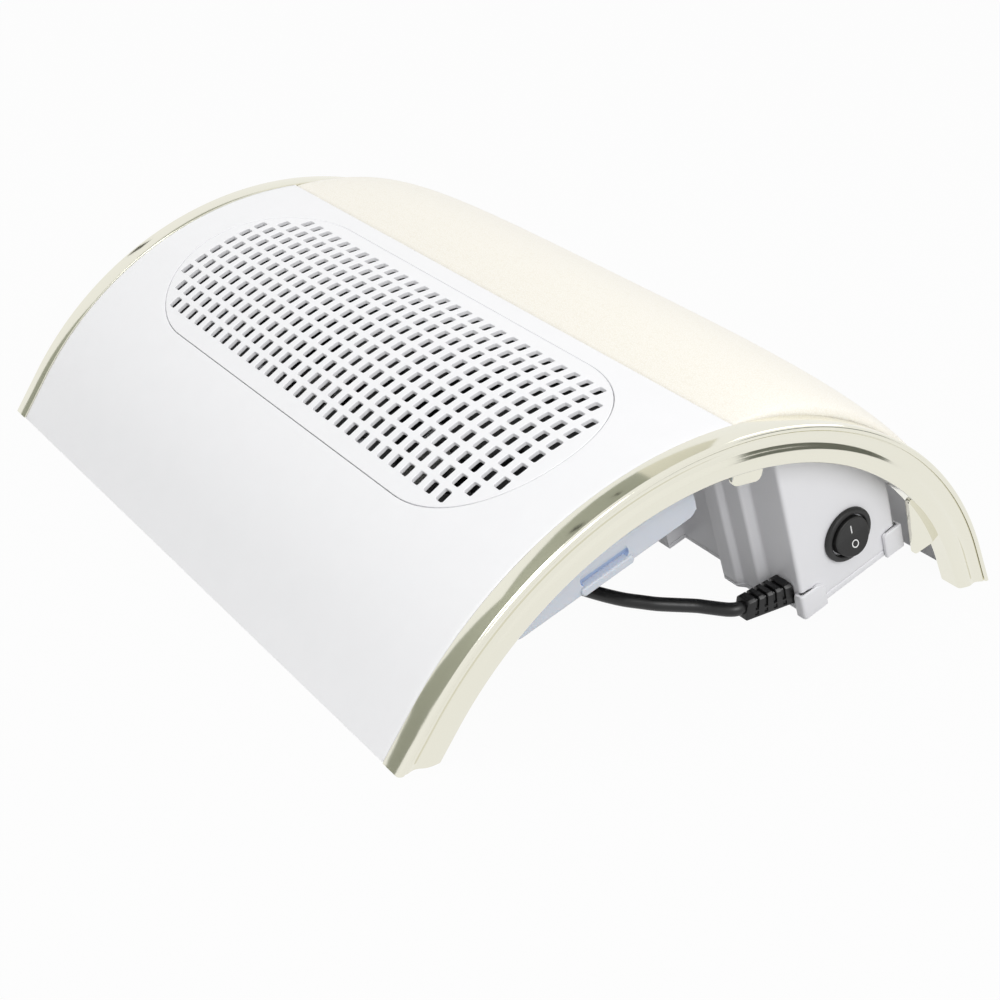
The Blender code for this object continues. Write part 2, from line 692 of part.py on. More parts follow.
def pad_crown(round_share, side_share):
    """How far the hand rest stands above the arch. round_share runs from its front edge to its foot, and
    side_share from -1 at one trim to 1 at the other."""
    swell = math.sin(math.pi * round_share ** PAD_PEAK_SHARE) ** PAD_SWELL_SHARE
    fall, curve = PAD_SIDE_SHARES
    return PAD_CROWN * swell * (1 - abs(side_share) ** fall) ** curve


def hand_rest_pad(cream):
    """Sections across the arch, each with a crowned top and the shell's own curve below."""
    first = PAD_FRONT + GAP
    last = FULL_REACH - PAD_FOOT - GAP
    low = BACK_OUTER + GAP
    reach = SHELL_END - GAP
    rings = []
    for i in range(PAD_RINGS + 1):
        side_share = math.sin(math.pi / 2 * (2 * i / PAD_RINGS - 1))
        x = reach * side_share
        top, bottom = [], []
        for j in range(PAD_POINTS + 1):
            round_share = j / PAD_POINTS
            along = first + (last - first) * round_share
            top.append(arch_point(x, ARCH_RADIUS + pad_crown(round_share, side_share), along))
            bottom.append(arch_point(x, low, along))
        rings.append(top + bottom[::-1])
    return place(loft(rings, "hand_rest_pad"), "hand_rest_pad", cream)


def ear(shape):
    """A rounded tab that hangs from a trim's lip, as a mesh in the trim's own frame."""
    half, reach = shape["width"] / 2, shape["reach"]
    corner = min(shape["round"], half, reach)
    outline = [(-half, GAP)]
    for side, start in ((-1, math.pi), (1, math.pi * 1.5)):
        for i in range(EAR_STEPS + 1):
            turn = start + math.pi / 2 * i / EAR_STEPS
            centre = (side * (half - corner), corner - reach)
            outline.append((centre[0] + corner * math.cos(turn), centre[1] + corner * math.sin(turn)))
    outline.append((half, GAP))
    far = END - EAR_SET
    mesh = plate(outline, far - EAR_THICKNESS, far, ALONG_X)
    lift = Matrix.Translation((0, 0, LIP_INNER))
    mesh.transform(Matrix.Translation((0, 0, -DROP)) @ Matrix.Rotation(-shape["turn"], 4, "X") @ lift)
    return mesh


def end_trim(name, side, metal):
    """A channel over the shell's rim: top band, rounded corner, bead, end face and inner lip. The left
    trim is the right one's mirror image."""
    skin = BEAD_STEP + TRIM_SKIN
    profile = [
        (TRIM_BAND, BAND_OUTER), (TRIM_ROUND, BAND_OUTER),
        (TRIM_CORNER, BAND_OUTER - TRIM_CORNER), (0, BAND_OUTER - TRIM_ROUND),
        (0, BAND_OUTER - BEAD_WIDTH), (BEAD_STEP, BAND_OUTER - BEAD_WIDTH - BEAD_STEP),
        (BEAD_STEP, LIP_INNER + TRIM_ROUND), (BEAD_STEP + TRIM_ROUND, LIP_INNER),
        (TRIM_LIP, LIP_INNER), (TRIM_LIP, LIP_INNER + TRIM_SKIN), (skin, LIP_INNER + TRIM_SKIN),
        (skin, BAND_INNER), (TRIM_BAND, BAND_INNER),
    ]
    rings = [[arch_point(END - inset, radius, along) for inset, radius in profile]
             for along in arch_stations()]
    meshes = [loft(rings, name), ear(CROWN_EAR), ear(REAR_EAR)]
    if side < 0:
        for mesh in meshes:
            mesh.transform(Matrix.Diagonal((-1, 1, 1, 1)))
            mesh.flip_normals()
    trim = place(meshes[0], name, metal)
    return combine(trim, meshes[1:], "UNION")


def arc_outline(radius, first, last, steps):
    """Points of a circle round the arch's axis, in the tilted frame, between two values of u."""
    start, end = math.asin(first / radius), math.asin(last / radius)
    turns = [start + (end - start) * i / steps for i in range(steps + 1)]
    return [(radius * math.sin(turn), radius * math.cos(turn)) for turn in turns]


def fan_housing(grey, tilted):
    """A duct under the grille. Its walls reach up to the shell, and its floor carries the fans."""
    top = FRONT_INNER - TOP_GAP
    outer = [(HOUSING_FRONT, HOUSING_BOTTOM), (HOUSING_BACK, HOUSING_BOTTOM),
             *arc_outline(top, HOUSING_FRONT, HOUSING_BACK, 10)[::-1]]
    front, back = HOUSING_FRONT + HOUSING_WALL, HOUSING_BACK - HOUSING_WALL
    high = top + OVERRUN
    floor = HOUSING_BOTTOM + HOUSING_FLOOR
    half = HOUSING_LENGTH / 2
    room = block(((HOUSING_WALL - half, front, floor), (half - HOUSING_WALL, back, high)))
    bores = [rod(FAN_BORE, (x, 0, HOUSING_BOTTOM - OVERRUN), (x, 0, floor + OVERRUN), 24)
             for x in fan_places()]
    pilots = [rod(SCREW_PILOT, (x, u, HOUSING_BOTTOM - OVERRUN), (x, u, floor + OVERRUN), 6)
              for x, u in fan_screw_places()]
    lead = rod(LEAD_HOLE, (FAN_LEAD_X, back - SHORT_OVERRUN, FAN_LEAD_N),
               (FAN_LEAD_X, HOUSING_BACK + OVERRUN, FAN_LEAD_N), 8)
    housing = place(plate(outer, -half, half, ALONG_X), "fan_housing", grey, tilted)
    return combine(housing, [room, merged(*bores, *pilots, lead)])


def fan_places():
    return [FAN_SPACING * step for step in FAN_PLACES]


def fan_screw_places():
    """Two opposite corners of each fan, in (x, u)."""
    return [(x + side * FAN_HOLE_X, side * FAN_HOLE_U) for x in fan_places() for side in (-1, 1)]


def fan(number, x, black, tilted):
    """An axial fan: a square frame with a four-armed spider, a stator on it, and a rotor on the stator's
    bearing. The rotor's origin is on its shaft."""
    centre = (x, 0, FAN_BOTTOM)
    outline = rounded_box((-FAN_LENGTH / 2, -FAN_WIDTH / 2), (FAN_LENGTH / 2, FAN_WIDTH / 2), FAN_CORNER, 2)
    frame = place(plate(outline, 0, FAN_THICKNESS), f"fan_frame_{number}", black, tilted, centre)
    bore = rod(FAN_BORE, (0, 0, -OVERRUN), (0, 0, FAN_THICKNESS + OVERRUN), 24)
    corners = [(FAN_HOLE_X, FAN_HOLE_U), (-FAN_HOLE_X, -FAN_HOLE_U)]
    holes = merged(*[rod(FAN_HOLE, (a, b, -OVERRUN), (a, b, FAN_THICKNESS + OVERRUN), 6) for a, b in corners])
    sinks = merged(*[rod(FAN_SINK_RADIUS, (a, b, FAN_THICKNESS - FAN_SINK), (a, b, FAN_THICKNESS + OVERRUN), 8)
                     for a, b in corners])
    combine(frame, [bore, holes, sinks])
    arm = SPIDER_ARM / 2
    reach = FAN_BORE + SPIDER_ARM / 2
    arm_top = FAN_BASE - SPIDER_SET
    disc = rod(FAN_HUB, (0, 0, 0), (0, 0, FAN_BASE), 16)
    combine(frame, [disc, block(((-reach, -arm, 0), (reach, arm, arm_top))),
                    block(((-arm, -reach, 0), (arm, reach, arm_top)))], "UNION")

    low = FAN_BASE + GAP
    high = low + FAN_CUP_HEIGHT - FAN_CUP_WALL - GAP * 2
    stator = turned([(STATOR_BORE, high), (STATOR_RADIUS, high), (STATOR_RADIUS, low), (STATOR_BORE, low)],
                    16, "stator")
    copper = finish("copper_winding", (0.35, 0.12, 0.05), 0.4, 0.8)
    place(stator, f"fan_motor_{number}", copper, tilted, centre)

    top = low + FAN_CUP_HEIGHT
    inside = top - FAN_CUP_WALL
    cup = turned([(0, top), (FAN_HUB - FAN_CUP_WALL / 2, top), (FAN_HUB, top - FAN_CUP_WALL / 2), (FAN_HUB, low),
                  (FAN_HUB - FAN_CUP_WALL, low), (FAN_HUB - FAN_CUP_WALL, inside), (SHAFT_RADIUS, inside),
                  (SHAFT_RADIUS, low), (0, low)], 16, "cup")
    rotor = place(cup, f"fan_rotor_{number}", black, tilted, centre)
    blades = [blade(math.tau * i / FAN_BLADES, low, top) for i in range(FAN_BLADES)]
    return combine(rotor, [merged(*blades)], "UNION")


def blade(turn, low, top):
    """One fan blade: a thin plate, pitched less at its tip and swept forward, from inside the hub's wall."""
    rings = []
    for share in BLADE_SHARES:
        first, last = FAN_HUB - FAN_CUP_WALL / 2, FAN_BORE - BLADE_TIP_CLEARANCE
        radius = first + (last - first) * share
        pitch = BLADE_PITCH * (1 - share * BLADE_TWIST_SHARE)
        chord = BLADE_CHORD * (1 + share * BLADE_SPREAD_SHARE)
        ring = []
        for along, across in ((-1, -1), (1, -1), (1, 1), (-1, 1)):
            side, lift = along * chord / 2, across * BLADE_THICKNESS / 2
            around = side * math.cos(pitch) - lift * math.sin(pitch)
            height = side * math.sin(pitch) + lift * math.cos(pitch)
            angle = turn + around / radius + share * BLADE_SWEEP_SHARE
            ring.append((radius * math.cos(angle), radius * math.sin(angle), (low + top) / 2 + height))
        rings.append(ring)
    return loft(rings, "blade")


def screw(tip, head_base, direction):
    """A round-headed screw: its shank from its tip to the seat of its head, and the head."""
    tip, head_base, direction = Vector(tip), Vector(head_base), Vector(direction)
    top = head_base + direction * SCREW_HEAD_HEIGHT
    length = (head_base - tip).length
    profile = [(0, length + SCREW_HEAD_HEIGHT), (SCREW_HEAD, length + SCREW_HEAD_HEIGHT * SCREW_HEAD_SHARE),
               (SCREW_HEAD, length), (SCREW_RADIUS, length), (SCREW_RADIUS, 0), (0, 0)]
    mesh = turned(profile, 7, "screw")
    mesh.transform(Matrix.Translation(tip) @ (top - tip).to_track_quat("Z", "Y").to_matrix().to_4x4())
    return mesh


def fan_screws(steel, tilted):
    """Two screws in each fan, sunk in its frame, that end in the housing's floor."""
    seat = FAN_TOP - FAN_SINK + GAP
    tip = HOUSING_BOTTOM + GAP
    for number, (x, u) in enumerate(fan_screw_places(), 1):
        place(screw((x, u, tip), (x, u, seat), (0, 0, 1)), f"fan_screw_{number}", steel, tilted)


def box_screw_places():
    """Three corners of the control box, in (x, u). The fourth holds the strain relief."""
    right, back = BOX_END - LUG_LENGTH - SCREW_HEAD - GAP * 2, BOX_BACK - POST_SET
    return [(BOX_START + POST_SET, BOX_FRONT + POST_SET), (BOX_START + POST_SET, back), (right, back)]


def cover_screw_places():
    """Two opposite corners of the rear housing, in (x, u)."""
    return [(REAR_RIGHT - POST_SET, REAR_FRONT + POST_SET), (REAR_LEFT + POST_SET, REAR_BACK - POST_SET)]


def posts(places, low):
    """Screw posts that grow from a housing's walls, and their pilot holes."""
    high = low + POST_HEIGHT
    columns = [rod(POST_RADIUS, (x, u, low), (x, u, high), 8) for x, u in places]
    pilots = [rod(SCREW_PILOT, (x, u, low - OVERRUN), (x, u, high - SCREW_HEAD_HEIGHT), 6) for x, u in places]
    return merged(*columns), merged(*pilots)


def corner_screws(name, places, face, steel, tilted):
    """Screws from below through a cover into its housing's posts."""
    seat = face - GAP
    for number, (x, u) in enumerate(places, 1):
        place(screw((x, u, face + SCREW_REACH), (x, u, seat), (0, 0, -1)), f"{name}_{number}", steel, tilted)


def cover_holes(places, low, high):
    return merged(*[rod(SCREW_PILOT, (x, u, low - OVERRUN), (x, u, high + OVERRUN), 6) for x, u in places])


def slot_places(first, last):
    """Evenly spaced middles of the exhaust slots along X."""
    pitch = (last - first) / SLOT_COUNT
    return [first + pitch * (i + 0.5) for i in range(SLOT_COUNT)]


def exhaust_slots(low, high, middle):
    """Two rows of slots through a floor, as one cutter."""
    half = HOUSING_LENGTH / 2 - SLOT_SET
    boxes = []
    for x in slot_places(-half, half):
        for side in (-1, 1):
            near, far = sorted((middle + side * SLOT_SET, middle + side * (SLOT_SET + SLOT_WIDTH)))
            boxes.append(((x - SLOT_LENGTH / 2, near, low - SHORT_OVERRUN),
                          (x + SLOT_LENGTH / 2, far, high + SHORT_OVERRUN)))
    return block(*boxes)


def drawer_housing(grey, tilted):
    """What the drawer runs in, below the fan housing: a floor that the air leaves through, a rail along
    either side and a stop at the left end."""
    low = DRAWER_BOTTOM - GAP - TROUGH_FLOOR
    high = HOUSING_BOTTOM - GAP
    left, right = -HOUSING_LENGTH / 2, DRAWER_END - DRAWER_PANEL - GAP
    front, back = DRAWER_FRONT - GAP, DRAWER_BACK + GAP
    outer_front, outer_back = front - HOUSING_WALL, back + HOUSING_WALL
    top = low + TROUGH_FLOOR
    floor = place(block(((left, outer_front, low), (right, outer_back, top))), "drawer_floor", grey, tilted)
    combine(floor, [exhaust_slots(low, top, DRAWER_MIDDLE)])
    for number, (near, far) in enumerate(((outer_front, front), (back, outer_back)), 1):
        rail = block(((left, near, DRAWER_BOTTOM), (right, far, high)))
        place(rail, f"drawer_rail_{number}", grey, tilted)
    stop = block(((left, front + GAP, DRAWER_BOTTOM), (left + HOUSING_WALL, back - GAP, high)))
    place(stop, "drawer_stop", grey, tilted)


def rounded_box(low, high, corner, steps):
    """A rectangle's outline with round corners, between two corner points."""
    outline = []
    corners = ((high[0], high[1]), (low[0], high[1]), (low[0], low[1]), (high[0], low[1]))
    for quarter, (a, b) in enumerate(corners):
        centre_a = a - math.copysign(corner, a - low[0] - corner)
        centre_b = b - math.copysign(corner, b - low[1] - corner)
        for i in range(steps + 1):
            turn = math.pi / 2 * (quarter + i / steps)
            outline.append((centre_a + corner * math.cos(turn), centre_b + corner * math.sin(turn)))
    return outline


def dust_drawer(blue, tilted):
    """A shallow tray with a slotted floor and an end panel with a finger grip. It slides out along +X."""
    left = -HOUSING_LENGTH / 2 + HOUSING_WALL + DRAWER_LEFT
    panel_start = DRAWER_END - DRAWER_PANEL
    low, high = DRAWER_BOTTOM, DRAWER_TOP
    front, back = DRAWER_FRONT + GAP, DRAWER_BACK - GAP
    tray = block(((left, front, low), (panel_start + DRAWER_PANEL / 2, back, high)))
    drawer = place(tray, "dust_drawer", blue, tilted)
    room = block(((left + DRAWER_WALL, front + DRAWER_WALL, low + DRAWER_FLOOR),
                  (panel_start - DRAWER_WALL, back - DRAWER_WALL, high + OVERRUN)))
    combine(drawer, [room, exhaust_slots(low, low + DRAWER_FLOOR, DRAWER_MIDDLE)])
    panel = plate(rounded_box((DRAWER_FRONT, low), (DRAWER_BACK, high), PANEL_ROUND, 2),
                  panel_start, DRAWER_END, ALONG_X)
    near, far = GRIP_MIDDLE - GRIP_LENGTH / 2, GRIP_MIDDLE + GRIP_LENGTH / 2
    lip_low = low - GRIP_DROP
    pocket_low = lip_low + GRIP_LIP
    lip = plate(rounded_box((panel_start, near), (DRAWER_END + GRIP_REACH, far), GRIP_REACH, 2),
                lip_low, pocket_low)
    combine(drawer, [panel, lip], "UNION")
    pocket = plate(rounded_box((near + GRIP_MARGIN, pocket_low), (far - GRIP_MARGIN, pocket_low + GRIP_HEIGHT),
                               POCKET_ROUND, 2), DRAWER_END - GRIP_DEPTH, DRAWER_END + OVERRUN, ALONG_X)
    return combine(drawer, [pocket])


def drawer_filter(felt, tilted):
    """The filter mat on the drawer's floor."""
    left = -HOUSING_LENGTH / 2 + HOUSING_WALL + DRAWER_LEFT + DRAWER_WALL + FILTER_MARGIN
    right = DRAWER_END - DRAWER_PANEL - DRAWER_WALL - FILTER_MARGIN
    front, back = DRAWER_FRONT + DRAWER_WALL + FILTER_MARGIN, DRAWER_BACK - DRAWER_WALL - FILTER_MARGIN
    low = DRAWER_BOTTOM + DRAWER_FLOOR + GAP
    mat = block(((left, front, low), (right, back, low + FILTER_THICKNESS)))
    return place(mat, "drawer_filter", felt, tilted)


def box_plan(wall):
    """The control box's outline in (x, u), drawn in by a wall. Its front wall steps out twice to the left."""
    first, second = BOX_FRONT - FIRST_RIB_STEP, BOX_FRONT - FIRST_RIB_STEP - SECOND_RIB_STEP
    x_first, x_second = BOX_END - FIRST_RIB_SET, BOX_END - SECOND_RIB_SET
    return [
        (BOX_END - wall, BOX_BACK - wall), (BOX_START + wall, BOX_BACK - wall),
        (BOX_START + wall, second + wall), (x_second - wall, second + wall),
        (x_second + RIB_SLOPE - wall, first + wall), (x_first - wall, first + wall),
        (x_first + RIB_SLOPE - wall, BOX_FRONT + wall), (BOX_END - wall, BOX_FRONT + wall),
    ]


def under_arch(radius, low_u, high_u, low_x, high_x):
    """The space inside a radius of the arch, in the tilted frame, as a tool for cutting a top to the arch."""
    outline = arc_outline(radius, low_u, high_u, 12)
    outline += [(high_u, 0), (low_u, 0)]
    return plate(outline[::-1], low_x, high_x, ALONG_X)


def control_box(grey, tilted):
    """A deep box that hangs from the shell at the right rear. Its end wall holds the switch, and its front
    wall the strain relief."""
    low = BOX_BOTTOM + BOX_PLATE + GAP
    high = BACK_INNER
    inside = under_arch(BACK_INNER - TOP_GAP, 0, BOX_BACK + OVERRUN, BOX_START - OVERRUN, BOX_END + OVERRUN)
    body = crossed(plate(box_plan(0), low, high), inside)
    box = place(body, "control_box", grey, tilted)
    room = plate(box_plan(BOX_WALL), low - OVERRUN, high + OVERRUN)
    hole = rod(BARREL_RADIUS + GAP, (BOX_END - BOX_WALL - OVERRUN, SWITCH_U, SWITCH_N),
               (BOX_END + OVERRUN, SWITCH_U, SWITCH_N), 28)
    relief_x, relief_n = BOX_END - RELIEF_SET, BOX_BOTTOM + RELIEF_RISE
    gland = rod(NECK_RADIUS + GAP, (relief_x, BOX_FRONT - OVERRUN, relief_n),
                (relief_x, BOX_FRONT + BOX_WALL + SHORT_OVERRUN, relief_n), 12)
    columns, pilots = posts(box_screw_places(), low)
    lead = rod(LEAD_HOLE, (BOX_START - OVERRUN, SWITCH_U, LEAD_N),
               (BOX_START + BOX_WALL + SHORT_OVERRUN, SWITCH_U, LEAD_N), 8)
    combine(box, [room])
    combine(box, [columns], "UNION")
    return combine(box, [hole, gland, lead, pilots])


def bottom_plate(grey, tilted):
    """The box's bottom, with two lugs that wrap its end corners. Its front edge is flat where it nears the
    table."""
    low, high = BOX_BOTTOM, BOX_BOTTOM + BOX_PLATE
    bottom = place(plate(box_plan(0), low, high), "bottom_plate", grey, tilted)
    lugs = []
    for u, side, width in ((BOX_FRONT, -1, LUG_WIDTHS[0]), (BOX_BACK, 1, LUG_WIDTHS[1])):
        near, far = sorted((u + side * (GAP + LUG_PROUD), u - side * width))
        lugs.append(plate(rounded_box((near, low - LUG_DROP), (far, low + LUG_HEIGHT), LUG_ROUND, 2),
                          BOX_END - LUG_LENGTH, BOX_END + GAP + LUG_PROUD, ALONG_X))
    combine(bottom, lugs, "UNION")
    clear = block(((BOX_START - OVERRUN, BOX_FRONT - GAP, high),
                   (BOX_END + GAP, BOX_BACK + GAP, high + LUG_HEIGHT + OVERRUN)))
    table = block(((BOX_START - OVERRUN, 0, -OVERRUN), (BOX_END + OVERRUN, SPAN / 2, PLATE_CLEARANCE)))
    table.transform(TILTED_FRAME.inverted())
    return combine(bottom, [clear, table, cover_holes(box_screw_places(), low, high)])


def rear_plan(wall):
    """The rear housing's outline in (x, u). Its front wall steps forward away from the control box."""
    nose, front = REAR_RIGHT - REAR_NOSE_SET, REAR_FRONT - REAR_NOSE
    return [(REAR_RIGHT - wall, REAR_BACK - wall), (REAR_LEFT + wall, REAR_BACK - wall),
            (REAR_LEFT + wall, front + wall), (nose - wall, front + wall),
            (nose - wall, REAR_FRONT + wall), (REAR_RIGHT - wall, REAR_FRONT + wall)]


def rear_housing(grey, tilted):
    """A shallower housing to the left of the control box, for the fans' supply."""
    low = REAR_BOTTOM + REAR_COVER + GAP
    inside = under_arch(BACK_INNER - TOP_GAP, 0, REAR_BACK + OVERRUN, REAR_LEFT - OVERRUN, REAR_RIGHT + OVERRUN)
    body = crossed(plate(rear_plan(0), low, BACK_INNER), inside)
    housing = place(body, "rear_housing", grey, tilted)
    front = REAR_FRONT - REAR_NOSE
    columns, pilots = posts(cover_screw_places(), low)
    switch_hole = rod(LEAD_HOLE, (REAR_RIGHT - HOUSING_WALL - SHORT_OVERRUN, SWITCH_U, LEAD_N),
                      (REAR_RIGHT + OVERRUN, SWITCH_U, LEAD_N), 8)
    fan_hole = rod(LEAD_HOLE, (FAN_LEAD_X, front - OVERRUN, FAN_LEAD_N),
                   (FAN_LEAD_X, front + HOUSING_WALL + SHORT_OVERRUN, FAN_LEAD_N), 8)
    combine(housing, [plate(rear_plan(HOUSING_WALL), low - OVERRUN, BACK_INNER + OVERRUN)])
    combine(housing, [columns], "UNION")
    return combine(housing, [pilots, switch_hole, fan_hole])


def rear_cover(grey, tilted):
    """Its bottom cover, with the pillars that carry the board."""
    cover = place(plate(rear_plan(0), REAR_BOTTOM, REAR_BOTTOM + REAR_COVER), "rear_cover", grey, tilted)
    pillars = []
    for x, u in board_corners(STAND_SET):
        pillars.append(rod(STAND_RADIUS, (x, u, REAR_BOTTOM + REAR_COVER / 2), (x, u, BOARD_LOW - GAP), 8))
    combine(cover, [merged(*pillars)], "UNION")
    return combine(cover, [cover_holes(cover_screw_places(), REAR_BOTTOM, REAR_BOTTOM + REAR_COVER)])


def board_limits():
    """The supply board's low and high corner in (x, u)."""
    return (BOARD_LEFT, REAR_FRONT + BOARD_MARGIN), (BOARD_RIGHT, REAR_BACK - BOARD_MARGIN)


def board_corners(inset):
    low, high = board_limits()
    return [(x, u) for x in (low[0] + inset, high[0] - inset) for u in (low[1] + inset, high[1] - inset)]


def supply(tilted, green, steel, black):
    """The board, and the transformer and capacitors that stand on it."""
    low, high = board_limits()
    top = BOARD_LOW + BOARD_THICKNESS
    place(block(((*low, BOARD_LOW), (*high, top))), "power_board", green, tilted)
    length, width, height = TRANSFORMER_SIZE
    middle_u = (low[1] + high[1]) / 2
    right, seat = high[0] - BOARD_MARGIN, top + GAP
    core = block(((right - length, middle_u - width / 2, seat), (right, middle_u + width / 2, seat + height)))
    place(core, "transformer", steel, tilted)
    for i in range(CAPACITOR_COUNT):
        can_x = low[0] + BOARD_MARGIN + CAPACITOR_RADIUS + i * CAPACITOR_SPACING
        can = rod(CAPACITOR_RADIUS, (can_x, middle_u, seat), (can_x, middle_u, seat + CAPACITOR_HEIGHT), 12)
        place(can, f"capacitor_{i + 1}", black, tilted)


def leads(tilted, rubber):
    """The lead from the fans and the one from the switch, each down to the supply board."""
    top = BOARD_LOW + BOARD_THICKNESS + GAP
    low, high = board_limits()
    foot = low[1] + LEAD_FOOT_SET
    inside = REAR_FRONT - REAR_NOSE + HOUSING_WALL + LEAD_HOLE
    fans = [(FAN_LEAD_X, FAN_WIDTH / 2 + GAP, FAN_LEAD_N), (FAN_LEAD_X, inside, FAN_LEAD_N),
            (FAN_LEAD_X, inside + LEAD_BEND, FAN_LEAD_N - LEAD_DROPS[0]),
            (FAN_LEAD_X, foot, FAN_LEAD_N - LEAD_DROPS[1]), (FAN_LEAD_X, foot, top)]
    place(tube(smooth_route(fans, BOARD_MARGIN), LEAD_RADIUS, 0), "fan_lead", rubber, tilted)
    bend = REAR_RIGHT - HOUSING_WALL - LEAD_HOLE
    line = [(TERMINAL_END - TERMINAL[0] - GAP, SWITCH_U, LEAD_N), (bend, SWITCH_U, LEAD_N),
            (high[0] - SWITCH_LEAD_SET, SWITCH_U, (LEAD_N + top) / 2), (high[0] - SWITCH_LEAD_SET, SWITCH_U, top)]
    place(tube(line, LEAD_RADIUS, 0), "switch_lead", rubber, tilted)


def rocker_switch(tilted, black):
    """A round rocker switch in the box's end wall: bezel with barrel, rocker on two pins, body and tabs."""
    face, proud = SWITCH_FACE, SWITCH_FACE + BEZEL_PROUD
    centre = Matrix.Translation((0, SWITCH_U, SWITCH_N)) @ Matrix.Rotation(math.pi / 2, 4, "Y")
    bezel = turned([(BARREL_BORE, face + BEZEL_ROUND), (BARREL_RADIUS, proud), (BEZEL_RADIUS - BEZEL_ROUND, proud),
                    (BEZEL_RADIUS, face + BEZEL_ROUND), (BEZEL_RADIUS, face), (BARREL_RADIUS, face),
                    (BARREL_RADIUS, face - BARREL_LENGTH), (BARREL_BORE, face - BARREL_LENGTH)], 24, "bezel")
    bezel.transform(centre)
    place(bezel, "switch_bezel", black, tilted)

    rear = TERMINAL_END + SWITCH_BODY_DEPTH + GAP
    half = SWITCH_BODY_WIDTH / 2
    body = block(((rear - SWITCH_BODY_DEPTH, SWITCH_U - half, SWITCH_N - BARREL_RADIUS),
                  (rear, SWITCH_U + half, SWITCH_N + BARREL_RADIUS)))
    place(body, "switch_body", black, tilted)
    length, width, thickness = TERMINAL
    brass = finish("plated_brass", (0.55, 0.45, 0.2), 0.3, 1.0)
    for number, side in enumerate((1, -1), 1):
        n = SWITCH_N + side * TERMINAL_SPACING / 2
        tab = block(((TERMINAL_END - length, SWITCH_U - width / 2, n - thickness / 2),
                     (TERMINAL_END, SWITCH_U + width / 2, n + thickness / 2)))
        place(tab, f"switch_terminal_{number}", brass, tilted)

    hollow = ROCKER_TOP - ROCKER_DIP
    profile = [(-ROCKER_DEPTH, -ROCKER_RADIUS), (-ROCKER_DEPTH, ROCKER_RADIUS), (ROCKER_TOP, ROCKER_RADIUS),
               (hollow, ROCKER_FLAT), (hollow, -ROCKER_FLAT), (ROCKER_TOP, -ROCKER_RADIUS)]
    key = plate(profile, -ROCKER_RADIUS, ROCKER_RADIUS, ALONG_U)
    round_key = crossed(key, rod(ROCKER_RADIUS, (-ROCKER_TOP * 2, 0, 0), (ROCKER_TOP * 2, 0, 0), 28))
    place_at = (SWITCH_FACE, SWITCH_U, SWITCH_N)
    rocker = place(round_key, "switch_rocker", black, tilted, place_at, (0, -ROCKER_TILT, 0))
    reach = BARREL_BORE - GAP
    return combine(rocker, [rod(ROCKER_PIN, (0, -reach, 0), (0, reach, 0), 8)], "UNION")


def relief_line():
    """The strain relief's root at the box's wall, the wall's outward direction, and the sleeve's two ends."""
    wall = TILTED_FRAME @ Vector((BOX_END - RELIEF_SET, BOX_FRONT, BOX_BOTTOM + RELIEF_RISE))
    outward = TILTED_FRAME.to_3x3() @ Vector((0, -1, 0))
    return wall, outward, wall + outward * GAP, wall + Vector(RELIEF_DROOP)


def relief_outline(share, groove):
    """The sleeve's outline, as sideways and upward distances. A groove leaves the spine at either side."""
    width, height = (root + (tip - root) * share for root, tip in zip(RELIEF_ROOT, RELIEF_TIP))
    inset = RELIEF_CHAMFER + groove / 2
    half = [(width - inset, height - groove), (width - groove, height - inset),
            (width - groove, RELIEF_SPINE + RELIEF_EDGE), (width, RELIEF_SPINE), (width, -height)]
    return half + [(-a, b) for a, b in half[::-1]]


def strain_relief(rubber):
    """A neck through the box's wall, with a flange inside it, and a tapered sleeve of nearly square section
    that droops from it to the table. Slots from above leave its ribs."""
    wall, outward, start, tip = relief_line()
    inner_face = wall - outward * (BOX_WALL + GAP)
    neck = rod(NECK_RADIUS, inner_face - outward * GAP, start + outward * NECK_REACH, 10)
    flange = rod(NECK_FLANGE, inner_face - outward * TRIM_SKIN, inner_face, 10)
    length = (tip - start).length
    stations = [(0, 0)]
    for i in range(RELIEF_SLOTS):
        low = RELIEF_FIRST_SLOT + RELIEF_PITCH * i
        high = low + RELIEF_SLOT
        stations += [(low, 0), (low + RELIEF_EDGE, RELIEF_GROOVE), (high - RELIEF_EDGE, RELIEF_GROOVE), (high, 0)]
    stations.append((length, 0))
    square = TILTED_FRAME.to_3x3() @ Vector((0, 0, 1))
    rings = []
    for station, groove in stations:
        share = station / length
        centre, upward = start.lerp(tip, share), square.lerp(Vector((0, 0, 1)), share).normalized()
        rings.append([centre + Vector((a, 0, 0)) + upward * b for a, b in relief_outline(share, groove)])
    return combine(place(loft(rings, "sleeve"), "strain_relief", rubber), [neck, flange], "UNION")


def smooth_route(points, spacing):
    """Points at even spacing along a smooth curve through the given ones."""
    known = np.array(points)
    padded = np.vstack([2 * known[0] - known[1], known, 2 * known[-1] - known[-2]])
    share = np.linspace(0, 1, 20, endpoint=False)[:, None]
    fine = []
    for a, b, c, d in zip(padded[:-3], padded[1:-2], padded[2:-1], padded[3:]):
        fine.append(0.5 * (2 * b + (c - a) * share + (2 * a - 5 * b + 4 * c - d) * share ** 2
                           + (3 * b - a - 3 * c + d) * share ** 3))
    fine = np.vstack([*fine, known[-1:]])
    run = np.concatenate([[0], np.cumsum(np.linalg.norm(np.diff(fine, axis=0), axis=1))])
    count = max(2, round(run[-1] / spacing))
    return np.stack([np.interp(np.linspace(0, run[-1], count + 1), run, fine[:, axis]) for axis in range(3)], -1)


